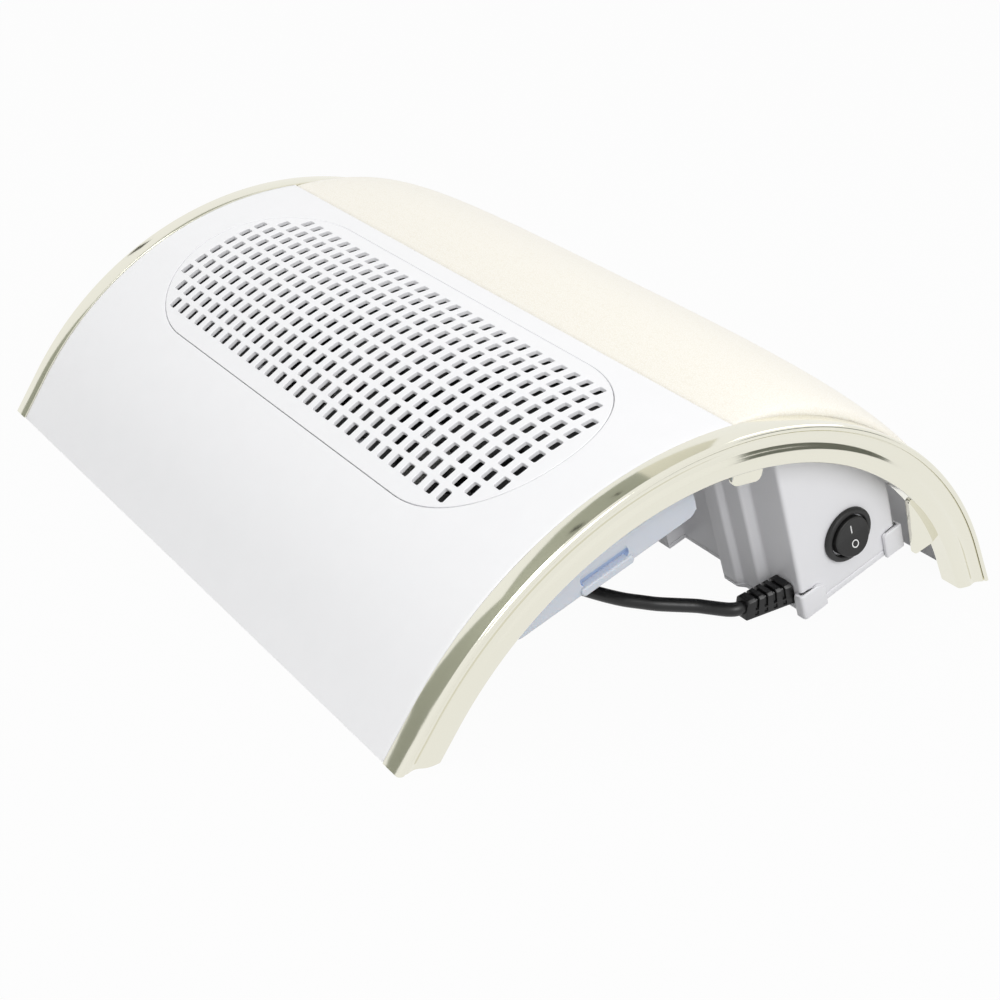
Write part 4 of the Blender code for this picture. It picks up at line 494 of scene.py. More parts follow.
def makeRelief():
    # a square block that tapers to its tip, with chamfered upper corners. Four slots cut its top and its sides down to
    # a spine, and a small window lies below the spine at each slot. Each section is square to the wall at its root and
    # square to the lead at its tip
    relief = {"root": (5.1, 4.8), "tip": (3.6, 4.2), "chamfer": 1.1, "spine": -1.0, "firstSlot": 3.5, "pitch": 3.75,
              "slot": 1.4, "slots": 4, "groove": 1.25, "window": 0.8, "rim": 1.0, "edge": 0.22, "round": 0.5,
              "neck": 4.3, "neckProud": 1.6, "neckBack": 2.8}
    length = np.linalg.norm(sleeveEnd - sleeveStart) / mm
    square = np.array(tilted.to_3x3() @ Vector((0, 0, 1)))

    def section(at, groove, window, draw=0.0):
        share = at / length
        w, h = (a + (b - a) * share - draw for a, b in zip(relief["root"], relief["tip"]))
        chamfer, spine = relief["chamfer"] + groove / 2, relief["spine"]
        right = [(w, -h), (w, -h + relief["rim"]), (w - window, -h + relief["rim"] + 0.1), (w - window, spine - 0.7),
                 (w, spine - 0.6), (w, spine), (w - groove, spine + 0.15), (w - groove, h - chamfer), (w - chamfer, h - groove)]
        outline = roundCorners(right + [(-x, y) for x, y in reversed(right)], 0.3, 2)
        up = square * (1 - share) + np.array([0, 0, 1]) * share
        centre = sleeveStart / mm + (sleeveEnd - sleeveStart) / mm * share
        return centre + outline[:, :1] * np.array([1, 0, 0]) + outline[:, 1:] * up

    edge, turns = relief["edge"], np.linspace(0, math.pi / 2, 4)
    rows = [section(relief["round"] * (1 - math.cos(t)), 0, 0, relief["round"] * (1 - math.sin(t))) for t in turns]
    for i in range(relief["slots"]):
        low = relief["firstSlot"] + relief["pitch"] * i
        high = low + relief["slot"]
        rows += [section(low - edge, 0, 0), section(low, edge, edge * 0.8), section(low + 0.03, relief["groove"], relief["window"]),
                 section(high - 0.03, relief["groove"], relief["window"]), section(high, edge, edge * 0.8),
                 section(high + edge, 0, 0)]
    rows += [section(length - relief["round"] * (1 - math.sin(t)), 0, 0, relief["round"] * (1 - math.cos(t))) for t in turns]
    sleeve = (np.stack(rows) * mm, False, True, True)
    r, p = relief["neck"], relief["neckProud"]
    neck = lathe(np.array([(0, p), (r, p), (r, -relief["neckBack"]), (0, -relief["neckBack"])]) * mm,
                 frameAlong(wallPoint, wallOutward), 48)
    return makePiece("strainReliefSleeve", [sleeve, (neck, False, True, False)], cordPvc, "housing",
                     ("strain_relief",), 30)


makeRelief()


def makeTie():
    # a strap round the bundle, with rounded corners
    tie = {"skin": 0.7, "clearance": 0.6, "width": 6.0}
    r, x, y = cordSizes["radius"] / mm, *cordSizes["coilCentre"]
    z, pitch = cordSizes["coilHeight"], cordSizes["coilPitch"]
    low = (x - cordSizes["coilRadius"] - r - tie["clearance"], z - r - 0.3)
    high = (x - cordSizes["coilRadius"] + pitch * cordSizes["layerTurns"] + r + tie["clearance"], z + pitch + r + 0.3)
    inner = roundedOutline(low, high, 2.0, 6)
    outer = roundedOutline([v - tie["skin"] for v in low], [v + tie["skin"] for v in high], 2.0 + tie["skin"], 6)
    half = tie["width"] / 2
    rows = [(inner, -half), (outer, -half), (outer, half), (inner, half)]
    grid = np.stack([np.column_stack([o[:, 0], np.full(len(o), y + across), o[:, 1]]) for o, across in rows]) * mm
    return makePiece("leadTie", [(grid, True, True, False)], cordPvc, "housing", ("cord_tie",), 30)


def makePlug():
    # a two-pin plug: an oval neck that swells to a rounded face, and two round pins with domed ends
    plug = {"length": 36.0, "width": 26.0, "height": 13.7, "pinRadius": 2.0, "pinLength": 19.0, "spacing": 18.6}
    end = leadPoints[-1] / mm
    shares = [(0, .5, .6), (.05, .52, .62), (.2, .55, .66), (.28, .66, .72), (.35, .85, .86), (.42, .96, .96), (.5, 1, 1),
              (.92, 1, 1), (.97, .985, .97), (1, .94, .9)]
    rows = []
    for share, width, height in shares:
        w, h = plug["width"] * width / 2, plug["height"] * height / 2
        outline = roundedOutline((-w, -h), (w, h), min(w, h) * 0.62, 8)
        rows.append(np.column_stack([np.full(len(outline), end[0] - 0.3 - plug["length"] * share), end[1] + outline[:, 0],
                                     end[2] + outline[:, 1]]))
    body = makePiece("plugShell", [(np.stack(rows) * mm, False, True, True)], cordPvc, "housing",
                     ("plug_body",), 40)
    face = end[0] - 0.6 - plug["length"]
    pins = []
    for number, side in ((1, -1), (2, 1)):
        r, full = plug["pinRadius"], plug["pinLength"]
        profile = [(0, full), (r * 0.5, full - 0.15), (r * 0.87, full - 0.8), (r, full - 1.9), (r, 0), (0, 0)]
        matrix = frameAlong(np.array([face, end[1] + side * plug["spacing"] / 2, end[2]]) * mm, (-1, 0, 0))
        pins.append(makePiece(f"plugPin{number}", [(lathe(np.array(profile) * mm, matrix, 32), False, True, False)],
                              nickelBrass, "housing", (f"plug_pin_{number}",), 50))
    return [body, *pins]


tie = makeTie()
plugPieces = makePlug()
print("lead", round(lineLength(leadPoints[1:]), 3), "m")


# ---- shell: front half with the stadium opening, back half under the hand rest

shellSizes = {
    "halfWidth": 156.05, "rimEnd": 163.85, "rimRadius": 151.0, "frontInner": 149.6, "backInner": 146.6,
    "step": -4.85, "footStrip": 173.8, "edge": 0.3,
    "straight": 86.8, "round": 45.9, "ledge": 1.9, "recessGap": 0.3, "recessFloor": 150.6,
}


def stadiumDirections():
    # directions round the stadium: straight sides first, then round each end, with the panel's corners met exactly
    s = shellSizes
    reachX = s["halfWidth"] - s["straight"]
    corners = []
    for radius in (arch["radius"] / mm,):
        front = -footAlong(radius * mm) / mm - arch["grilleAlong"] / mm
        back = s["step"] - arch["grilleAlong"] / mm
        corners = [math.atan2(front, reachX), math.atan2(back, reachX)]
    right = np.sort(np.concatenate([np.linspace(-math.pi / 2, math.pi / 2, 61), corners]))
    return right


def stadiumLoop(margin):
    # the stadium's outline, grown by a margin: points of its two straight sides and its two ends
    s = shellSizes
    right = stadiumDirections()
    sides = np.linspace(-1, 1, 60)[1:-1]
    r = s["round"] + margin
    endRight = np.stack([s["straight"] + r * np.cos(right), r * np.sin(right)], -1)
    back = np.stack([-sides * s["straight"], np.full(len(sides), r)], -1)
    endLeft = np.stack([-s["straight"] - r * np.cos(right[::-1]), r * np.sin(right[::-1])], -1)
    front = np.stack([sides * s["straight"], np.full(len(sides), -r)], -1)
    return np.vstack([endRight, back, endLeft, front])


def panelLoop(radius, draw=0.0):
    # the front half's outline, met by a ray from each point of the stadium; draw is how far it is drawn in
    s = shellSizes
    centre = arch["grilleAlong"] / mm
    front, back = -footAlong(radius * mm) / mm - centre, s["step"] - draw - centre
    halfWidth = s["halfWidth"] - draw
    right = stadiumDirections()
    sides = np.linspace(-1, 1, 60)[1:-1]
    cos, sin = np.maximum(np.cos(right), 1e-9), np.sin(right)
    reach = np.minimum((halfWidth - s["straight"]) / cos,
                       np.where(sin >= 0, back, front) / np.where(np.abs(sin) < 1e-9, 1e-9, sin))
    endRight = np.stack([s["straight"] + reach * cos, reach * sin], -1)
    backSide = np.stack([-sides * s["straight"], np.full(len(sides), back)], -1)
    endLeft = endRight[::-1] * [-1, 1]
    frontSide = np.stack([sides * s["straight"], np.full(len(sides), front)], -1)
    return np.vstack([endRight, backSide, endLeft, frontSide])


def makeShellFront():
    # one closed skin, carried round the stadium: out over the top from the opening, round the edge, back under, and
    # up over the ledge that the grille lies on
    s = shellSizes
    outer = arch["radius"] / mm
    centre = arch["grilleAlong"] / mm
    rings = []
    hole, rim = stadiumLoop(s["recessGap"] + s["edge"]), panelLoop(outer, s["edge"])
    for share in np.linspace(0, 1, 30) ** 1.25:
        rings.append((hole + (rim - hole) * share, outer))
    rings += [(panelLoop(outer, s["edge"] * 0.3), outer - s["edge"] * 0.3), (panelLoop(outer), outer - s["edge"])]
    under, inner = panelLoop(s["frontInner"]), stadiumLoop(-s["ledge"])
    for share in np.linspace(0, 1, 18):
        rings.append((under + (inner - under) * share, s["frontInner"]))
    rings += [(inner, s["recessFloor"]), (stadiumLoop(s["recessGap"]), s["recessFloor"]),
              (stadiumLoop(s["recessGap"]), outer - s["edge"]), (stadiumLoop(s["recessGap"] + s["edge"] * 0.3), outer - s["edge"] * 0.3)]
    grid = np.stack([onArch(loop[:, 0] * mm, radius * mm, (loop[:, 1] + centre) * mm) for loop, radius in rings])
    return (grid, True, True, False)


def stations(first, last, extra=(), step=2.4):
    # distances round the arch, evenly spaced, with the extra ones met exactly
    even = np.arange(first, last, step)
    if len(extra):
        even = even[np.min(np.abs(even[:, None] - np.array(extra)[None]), axis=1) > step * 0.3]
    return np.unique(np.concatenate([even, [first, last], extra]))


def sweep(sections, alongs):
    # sections give, for each distance round the arch, the (x, radius) pairs of a closed outline
    return np.stack([onArch(section[:, 0] * mm, section[:, 1] * mm, along * mm) for section, along in zip(sections, alongs)])


def makeShellBack():
    s = shellSizes
    foot = footAlong(arch["radius"]) / mm
    thin = (s["step"] - 10, s["step"] - 2)
    alongs = stations(thin[0], foot + 1, [thin[1], s["footStrip"], s["footStrip"] + 0.25, arcReach / mm])
    sections = []
    for along in alongs:
        share = min(max((along - thin[0]) / (thin[1] - thin[0]), 0), 1)
        inner = s["frontInner"] - 0.05 + (s["backInner"] - s["frontInner"] + 0.05) * share
        outer = arch["radius"] / mm if along > s["footStrip"] + 0.1 else s["frontInner"] + 0.02
        w = s["halfWidth"]
        sections.append(np.array([(-w, inner), (w, inner), (w, outer - 0.3), (w - 0.3, outer), (-w + 0.3, outer), (-w, outer - 0.3)])
                        if outer > inner + 0.5 else np.array([(-w, inner), (w, inner), (w, outer - 0.01), (w - 0.3, outer),
                                                              (-w + 0.3, outer), (-w, outer - 0.01)]))
    return (sweep(sections, alongs), False, True, True)


def makeRims():
    # the two lower rims that run inside the end trims
    s = shellSizes
    foot = footAlong(arch["radius"]) / mm
    alongs = stations(-foot - 1, foot + 1)
    rims = []
    for side in (-1, 1):
        section = np.array([(side * (s["halfWidth"] - 0.1), s["backInner"] + 1), (side * s["rimEnd"], s["backInner"] + 1),
                            (side * s["rimEnd"], s["rimRadius"]), (side * (s["halfWidth"] - 0.1), s["rimRadius"])])
        rims.append((sweep([section] * len(alongs), alongs), False, True, True))
    return rims


makePiece("archShell", [makeShellFront(), makeShellBack(), *makeRims()], whiteAbs, "housing", ("arch_shell",), 32)
print("shell made")


# ---- grille

def roundedHole(x0, x1, s0, s1, corner, steps=3):
    return roundedOutline((x0, s0), (x1, s1), corner, steps)


def clipped(outline, field):
    # the part of an outline inside a convex one
    outline = outline.tolist()
    for (x0, s0), (x1, s1) in zip(field, np.roll(field, -1, 0)):
        kept = []
        for first, second in zip(outline, outline[1:] + outline[:1]):
            a = (x1 - x0) * (first[1] - s0) - (s1 - s0) * (first[0] - x0)
            b = (x1 - x0) * (second[1] - s0) - (s1 - s0) * (second[0] - x0)
            if a >= 0:
                kept.append(first)
            if a * b < 0:
                kept.append([p + (q - p) * a / (a - b) for p, q in zip(first, second)])
        outline = kept
    return np.array(outline)


def makeGrille():
    # a thin curved panel: its flat layout is triangulated round the holes, and every point is then bent to the arch.
    # Four layers: the face, the holes' rounded edges, their lower edges, and the underside
    grille = {"rows": 10, "columns": 32, "pitch": 7.9, "holeX": 4.3, "holeS": 5.4, "corner": 0.7, "field": 43.7,
              "edgeRule": 0.9, "thickness": 1.7, "edge": 0.22, "turns": 40}
    s = shellSizes
    turns = np.linspace(-math.pi / 2, math.pi / 2, grille["turns"] + 1)

    def stadium(radius):
        right = np.stack([s["straight"] + radius * np.cos(turns), radius * np.sin(turns)], -1)
        along = np.linspace(-1, 1, 42)[1:-1] * s["straight"]
        return np.vstack([right, np.stack([-along, np.full(len(along), radius)], -1), -right,
                          np.stack([along, np.full(len(along), -radius)], -1)])

    field = stadium(grille["field"])
    loops = [stadium(s["round"])]
    for row in range(grille["rows"]):
        across = grille["pitch"] * (row - (grille["rows"] - 1) / 2)
        for column in range(grille["columns"]):
            x = grille["pitch"] * (column - (grille["columns"] - 1) / 2)
            if math.hypot(max(abs(x) - s["straight"], 0), across) > grille["field"] - grille["edgeRule"]:
                continue
            hole = roundedHole(x - grille["holeX"] / 2, x + grille["holeX"] / 2, across - grille["holeS"] / 2,
                               across + grille["holeS"] / 2, grille["corner"])
            if np.hypot(np.maximum(np.abs(hole[:, 0]) - s["straight"], 0), hole[:, 1]).max() > grille["field"]:
                hole = clipped(hole, field)
            loops.append(hole)
    # the face's edges are drawn back from the walls: outwards round the holes, inwards at the panel's rim
    flat = np.vstack(loops)
    drawn = np.vstack([inset(loop, grille["edge"]) if k == 0 else inset(loop, -grille["edge"]) for k, loop in enumerate(loops)])
    starts = np.cumsum([0] + [len(loop) for loop in loops])
    edges = np.vstack([np.column_stack([np.arange(a, b), np.roll(np.arange(a, b), -1)]) for a, b in zip(starts[:-1], starts[1:])])
    out = delaunay_2d_cdt([Vector(p) for p in drawn.tolist()], edges.tolist(), [], 1, 1e-6)
    verts, faces = np.array([tuple(v) for v in out[0]]), np.array(out[2])
    centres = verts[faces].mean(1)
    inside = np.ones(len(faces), bool)
    for a, b in zip(starts[1:-1], starts[2:]):       # drop the triangles in each hole
        low, high = drawn[a:b].min(0), drawn[a:b].max(0)
        near = np.flatnonzero(((centres > low) & (centres < high)).all(1))
        p, q = drawn[a:b], np.roll(drawn[a:b], -1, 0)
        for face in near:
            c = centres[face]
            cross = (q[:, 0] - p[:, 0]) * (c[1] - p[:, 1]) - (q[:, 1] - p[:, 1]) * (c[0] - p[:, 0])
            inside[face] = not ((cross > 0).all() or (cross < 0).all())
    faces = faces[inside]
    order = np.array([ids[0] for ids in out[3]])     # which given point each result point is
    back = np.empty(len(verts), int)
    back[:] = order
    faces = back[faces]
    outer, thick, edge = arch["radius"] / mm, grille["thickness"], grille["edge"]
    count = len(flat)
    layers = [(drawn, outer), (flat, outer - edge), (flat, outer - thick)]
    centre = arch["grilleAlong"] / mm
    points = np.vstack([onArch(p[:, 0] * mm, r * mm, (p[:, 1] + centre) * mm) for p, r in layers])
    normals = moved(onArch(flat[:, 0] * 0, 1.0 + drop * 0, (flat[:, 1] + centre) * mm), Matrix.Identity(4))
    a, b, c = points[faces[:, 0]], points[faces[:, 1]], points[faces[:, 2]]
    up = (np.cross(b - a, c - a) * (a + np.array([0, 0, drop]) - a * [1, 0, 0])).sum(1)
    faces[up < 0] = faces[up < 0][:, ::-1]
    quads = []
    for low, high in ((0, 1), (1, 2)):
        quads.append(np.column_stack([edges[:, 0] + low * count, edges[:, 0] + high * count,
                                      edges[:, 1] + high * count, edges[:, 1] + low * count]))
    quads = np.vstack(quads)
    mesh = bpy.data.meshes.new("grillePanel")
    mesh.from_pydata(points.tolist(), [], faces.tolist() + (faces[:, ::-1] + 2 * count).tolist() + quads.tolist())
    mesh.validate()
    shape = bmesh.new()
    shape.from_mesh(mesh)
    bmesh.ops.recalc_face_normals(shape, faces=shape.faces)
    shape.to_mesh(mesh)
    shape.free()
    mesh.polygons.foreach_set("use_smooth", np.ones(len(mesh.polygons), bool))
    mesh.set_sharp_from_angle(angle=math.radians(30))
    mesh.update()
    return addPiece("grillePanel", mesh, whiteAbs, "housing", ("grille_panel",))


makeGrille()
print("grille made")


# ---- hand rest

def makePad():
    # a skin pulled over foam: its height over the arch is a sine hump, skewed to the front, times a fall-off that is
    # flat in the middle and steep at the trims. Its edges turn in to a flat underside
    pad = {"front": -4.3, "foot": 173.5, "halfWidth": 155.75, "crown": 10.8, "peak": 0.525, "swell": 2.04,
           "sideFall": 3.7, "sideCurve": 0.39, "under": 149.9, "edge": 1.4, "rows": 150, "columns": 170}
    v = np.sin(np.linspace(-math.pi / 2, math.pi / 2, pad["columns"] + 1))
    u = np.linspace(0, 1, pad["rows"] + 1)
    u = u - np.sin(math.tau * u) / math.tau * 0.75       # closer together at the front edge and the foot
    outer = arch["radius"] / mm
    across, round_ = np.meshgrid(v, u)
    swell = np.sin(math.pi * np.clip(round_, 0, 1) ** pad["peak"]) ** pad["swell"]
    fall = (1 - np.abs(across) ** pad["sideFall"]).clip(0) ** pad["sideCurve"]
    x = pad["halfWidth"] * across
    along = pad["front"] + (pad["foot"] - pad["front"]) * round_
    # the skin rolls over within one edge radius of its border
    border = np.minimum(np.minimum(along - pad["front"], pad["foot"] - along), pad["halfWidth"] - np.abs(x))
    roll = np.clip(1 - border / pad["edge"], 0, 1)
    top = outer + pad["crown"] * swell * fall - pad["edge"] * (1 - np.sqrt(np.clip(1 - roll ** 2, 0, 1)))
    grid = onArch(x * mm, top * mm, along * mm)
    rows, columns = grid.shape[:2]
    under = onArch(x * mm, pad["under"] * mm, along * mm)
    points = np.vstack([grid.reshape(-1, 3), under.reshape(-1, 3)])
    quads = patchFaces(rows, columns, False, False)
    count = rows * columns
    ids = np.arange(count).reshape(rows, columns)
    ring = np.concatenate([ids[0, :-1], ids[:-1, -1], ids[-1, :0:-1], ids[:0:-1, 0]])
    wall = np.column_stack([ring, ring + count, np.roll(ring, -1) + count, np.roll(ring, -1)])
    faces = np.vstack([quads, quads[:, ::-1] + count, wall])
    if signedVolume(points, faces) < 0:
        faces = faces[:, ::-1]
    mesh = bpy.data.meshes.new("handRest")
    mesh.from_pydata(points.tolist(), [], faces.tolist())
    mesh.polygons.foreach_set("use_smooth", np.ones(len(faces), bool))
    mesh.set_sharp_from_angle(angle=math.radians(60))
    mesh.update()
    piece = addPiece("handRest", mesh, padVinyl, "housing", ("hand_rest_pad",))
    return piece


makePad()
print("hand rest made")


# ---- end trims

def trimOutline():
    # (inset from the end, radius): band, rounded corner, bead, hollow face with a ridge, lip, and back inside
    turns = np.linspace(0, math.pi / 2, 9)
    corner = [(1.3 * (1 - math.sin(t)), 152.9 - 1.3 * (1 - math.cos(t))) for t in turns]
    bead = [(0.0, 151.1), (0.06, 150.85), (0.25, 150.7), (0.45, 150.62), (1.15, 150.6), (1.15, 150.32), (0.7, 150.25), (0.62, 149.9)]
    hollow = [(0.6 + 1.0 * math.sin(t) ** 1.3, 149.6 - 6.2 * t / math.pi) for t in np.linspace(0, math.pi, 13)]
    face = [*hollow, (0.5, 142.95), (0.42, 142.6), (0.4, 141.2), (0.46, 140.4), (0.6, 139.7)]
    lip = [(0.7 + 1.4 * (1 - math.cos(t)), 139.0 - 1.4 * math.sin(t)) for t in turns]
    inner = [(10.2, 137.6), (10.5, 137.9), (10.5, 139.0), (10.3, 139.2), (2.1, 139.2), (2.1, 151.3), (9.9, 151.3)]
    band = [(9.9, 152.6), (9.8, 152.82), (9.55, 152.9)]
    return np.array([*band, *corner, *bead, *face, *lip, *inner])


def earPatch(turn, outline, side):
    # a flat tab under the lip; its outline is in mm round the arch and above the lip's radius
    far, thick = 161.25, 2.4
    rows = [(0.5, far - thick), (0.4, far - thick), (0.12, far - thick + 0.12), (0, far - thick + 0.4), (0, far - 0.4),
            (0.12, far - 0.12), (0.4, far), (0.5, far)]
    grid = np.stack([np.column_stack([np.full(len(outline), x * side), *inset(outline, draw).T]) for draw, x in rows])
    lift = Matrix.Translation((0, 0, -drop)) @ Matrix.Rotation(-math.radians(turn), 4, "X") @ Matrix.Translation((0, 0, 137.6 * mm))
    return moved(grid * mm, lift), False, True, True


def makeTrims():
    foot = footAlong(arch["radius"]) / mm
    alongs = stations(-foot - 1.5, foot + 1.5, [-arcReach / mm, arcReach / mm], 2.0)
    outline = trimOutline()
    for name, side in (("Left", -1), ("Right", 1)):
        section = np.column_stack([side * (arch["end"] / mm - outline[:, 0]), outline[:, 1]])
        crownEar = roundCorners([(7, 0.6), (-7, 0.6), (-7, -6.9), (7, -6.9)], [0.3, 0.3, 4, 4], 8)
        rearEar = roundCorners([(14.4, 0.6), (-14.4, 0.6), (-14.4, -1.6), (10.6, -11.8), (14.4, -3.6)],
                               [0.3, 0.3, 1.5, 1.5, 3], 8)
        patches = [(sweep([section] * len(alongs), alongs), False, True, True), earPatch(0.3, crownEar, side),
                   earPatch(46.8, rearEar, side)]
        makePiece(f"endTrim{name}", patches, trimPlating, "housing", (f"trim_{name.lower()}",), 40)


makeTrims()
print("trims made")


# ---- dust drawer

drawerSizes = {"bottom": 114.9, "top": 126.5, "front": -46.3, "panelFront": -50.4, "back": 33.85, "end": 153.5, "panel": 3.6, "left": -128.5,
               "wall": 1.3, "floor": 1.2, "round": 4.6, "gripFront": -20.1, "gripBack": 3.3, "gripReach": 1.2,
               "gripLow": 114.7, "gripTop": 118.3, "gripMargin": 0.9, "gripHeight": 5.2, "gripDepth": 2.2,
               "pocketRound": 2.0, "slots": 10, "slotLength": 12, "slotWidth": 30, "middleBar": 3.0}


def makeDrawer():
    d = {key: value * mm if key != "slots" else value for key, value in drawerSizes.items()}
    middle = (d["front"] + d["back"]) / 2
    start = d["end"] - d["panel"]
    # end panel: rings of one outline each, over the rounded edge, across the face and into the finger scoop. The
    # scoop's floor is the lip; its back runs out to the face as it climbs, depth = most x (1 - climb) ^ 1.4
    outline = roundedOutline((d["panelFront"], d["bottom"]), (d["back"], d["top"]), d["round"], 8, 12)
    pocketLow = d["gripTop"] - 0.2 * mm
    pocket = roundedOutline((d["gripFront"] + d["gripMargin"], pocketLow), (d["gripBack"] - d["gripMargin"], pocketLow + d["gripHeight"]),
                            d["pocketRound"], 8, 12)
    pocketMiddle = pocket.mean(0)

    def scoop(share, sink):
        loop = pocketMiddle + (pocket - pocketMiddle) * share
        climb = np.clip((loop[:, 1] - pocketLow) / d["gripHeight"], 0, 1)
        return np.column_stack([d["end"] - d["gripDepth"] * sink * (1 - climb) ** 1.4, loop])

    bevel = 0.9 * mm
    flat = [(outline, start)]
    flat += [(inset(outline, bevel * (1 - math.cos(t))), d["end"] - bevel * (1 - math.sin(t))) for t in np.linspace(0, math.pi / 2, 5)]
    flat += [(inset(outline, bevel * 1.2), d["end"]), (inset(pocket, -0.4 * mm), d["end"])]
    rows = [np.column_stack([np.full(len(ring), x), ring]) for ring, x in flat]
    rows += [scoop(1.0, 0.0), scoop(0.985, 0.25), scoop(0.975, 0.85), scoop(0.95, 1.0)]
    rows += [scoop(share, 1.0) for share in np.linspace(0.88, 0.02, 12)]
    panel = (moved(np.stack(rows), tilted), False, True, True)
    low = (d["left"], d["front"] + 0.3 * mm, d["bottom"])
    high = (start + 1 * mm, d["back"] - 0.3 * mm, d["top"])
    wall = d["wall"]
    walls = [boxPatch(low, (high[0], low[1] + wall, high[2])), boxPatch((low[0], high[1] - wall, low[2]), high),
             boxPatch(low, (low[0] + wall, high[1], high[2])), boxPatch((start - wall, low[1], low[2]), high)]
    floorHigh = d["bottom"] + d["floor"]
    bars = [(low[1], middle - d["middleBar"] - d["slotWidth"]), (middle - d["middleBar"], middle + d["middleBar"]),
            (middle + d["middleBar"] + d["slotWidth"], high[1])]
    floor = [boxPatch((low[0] + 0.2 * mm, a, low[2] + 0.02 * mm), (high[0], b, floorHigh), 0.1 * mm) for a, b in bars]
    reach = 134 * mm - 3 * mm
    pitch = 2 * reach / d["slots"]
    centres = [-reach + pitch * (i + 0.5) for i in range(d["slots"])]
    edges = [low[0]] + [x + side * d["slotLength"] / 2 for x in centres for side in (-1, 1)] + [start]
    for a, b in zip(edges[::2], edges[1::2]):
        if b > a:
            floor.append(boxPatch((a, low[1] + 0.2 * mm, low[2] + 0.03 * mm), (b, high[1] - 0.2 * mm, floorHigh - 0.01 * mm), 0.1 * mm))
    tray = makePiece("drawerTray", [panel, *walls, *floor], drawerBlue, "drawer", ("dust_drawer",), 32)
    # the scoop's back is the thinner, deeper coloured wall
    # the lower part of the scoop takes the deeper blue, which is painted shade in the finger recess
    tray.data.materials.append(scoopShadeBlue)
    back = np.array(tilted.inverted())
    for polygon in tray.data.polygons:
        x, u, n = back[:3, :3] @ np.array(polygon.center) + back[:3, 3]
        inScoop = d["end"] - 2.4 * mm < x < d["end"] - 0.05 * mm and d["gripFront"] < u < d["gripBack"]
        polygon.material_index = int(inScoop and pocketLow < n < pocketLow + d["gripHeight"] * 0.6)
    lip = roundedOutline((d["gripFront"], d["gripLow"]), (d["gripBack"], d["gripTop"]), 1.6 * mm, 8)
    lipPatch = slab(lip, start + 0.3 * mm, d["end"] + d["gripReach"], 0.8 * mm, "unx", 5)
    makePiece("drawerGrip", [lipPatch], drawerBlue, "drawer", (), 35)


makeDrawer()
print("drawer made")


# ---- control box and its bottom plate

boxSizes = {"end": 153.5, "start": 112.5, "front": 69.8, "back": 120.0, "bottom": 35.9, "plate": 2.9, "gap": 0.3,
            "wall": 2.2, "firstRib": (20.5, 4.0), "secondRib": (32.0, 2.5), "slope": 2.0, "round": 1.8,
            "topRadius": 146.15, "lugLength": 3.0, "lugHeight": 11.6, "lugProud": 1.6, "lugDrop": 0.2,
            "table": 0.4}


def boxOutline():
    b = boxSizes
    first = b["front"] - b["firstRib"][1]
    second = first - b["secondRib"][1]
    xFirst, xSecond = b["end"] - b["firstRib"][0], b["end"] - b["secondRib"][0]
    return [(b["end"], b["back"]), (b["start"], b["back"]), (b["start"], second), (xSecond, second),
            (xSecond + b["slope"], first), (xFirst, first), (xFirst + b["slope"], b["front"]), (b["end"], b["front"])]


def makeBox():
    # a wall carried round the outline; its top edge follows the arch, n = sqrt(radius squared - u squared)
    b = boxSizes
    outer = roundCorners(boxOutline(), b["round"], 5)
    inner = inset(outer, b["wall"])
    low = b["bottom"] + b["plate"] + b["gap"]

    def ring(outline, share, lift=0.0):
        top = np.sqrt(b["topRadius"] ** 2 - outline[:, 1] ** 2)
        return np.column_stack([outline, low + (top - low) * share + lift])

    rows = [ring(inset(outer, 0.35), 0), ring(inset(outer, 0.1), 0, 0.1), ring(outer, 0, 0.35),
            *[ring(outer, share) for share in np.linspace(0.03, 1, 14)], *[ring(inner, share) for share in np.linspace(1, 0, 8)]]
    walls = (moved(np.stack(rows) * mm, tilted), True, True, False)
    makePiece("controlBoxWalls", [walls], greyAbs, "housing", ("control_box",), 30)
    plate = slab(roundCorners(boxOutline(), b["round"], 5) * mm, b["bottom"] * mm, (b["bottom"] + b["plate"]) * mm, 0.5 * mm)
    lugs = [lugPatch(b["front"], -1, 10.5, 4.2, 1.7), lugPatch(b["back"], 1, 7.5, 1.4, 0.6)]
    piece = makePiece("boxBottomPlate", [plate, *lugs], greyAbs, "housing", ("bottom_plate",), 32)
    # the plate's front edge would reach below the table, so everything under that height is cut off flat
    shape = bmesh.new()
    shape.from_mesh(piece.data)
    cut = bmesh.ops.bisect_plane(shape, geom=[*shape.verts, *shape.edges, *shape.faces], plane_co=(0, 0, b["table"] * mm),
                                 plane_no=(0, 0, -1), clear_outer=True)
    bmesh.ops.holes_fill(shape, edges=[part for part in cut["geom_cut"] if isinstance(part, bmesh.types.BMEdge)])
    shape.to_mesh(piece.data)
    shape.free()


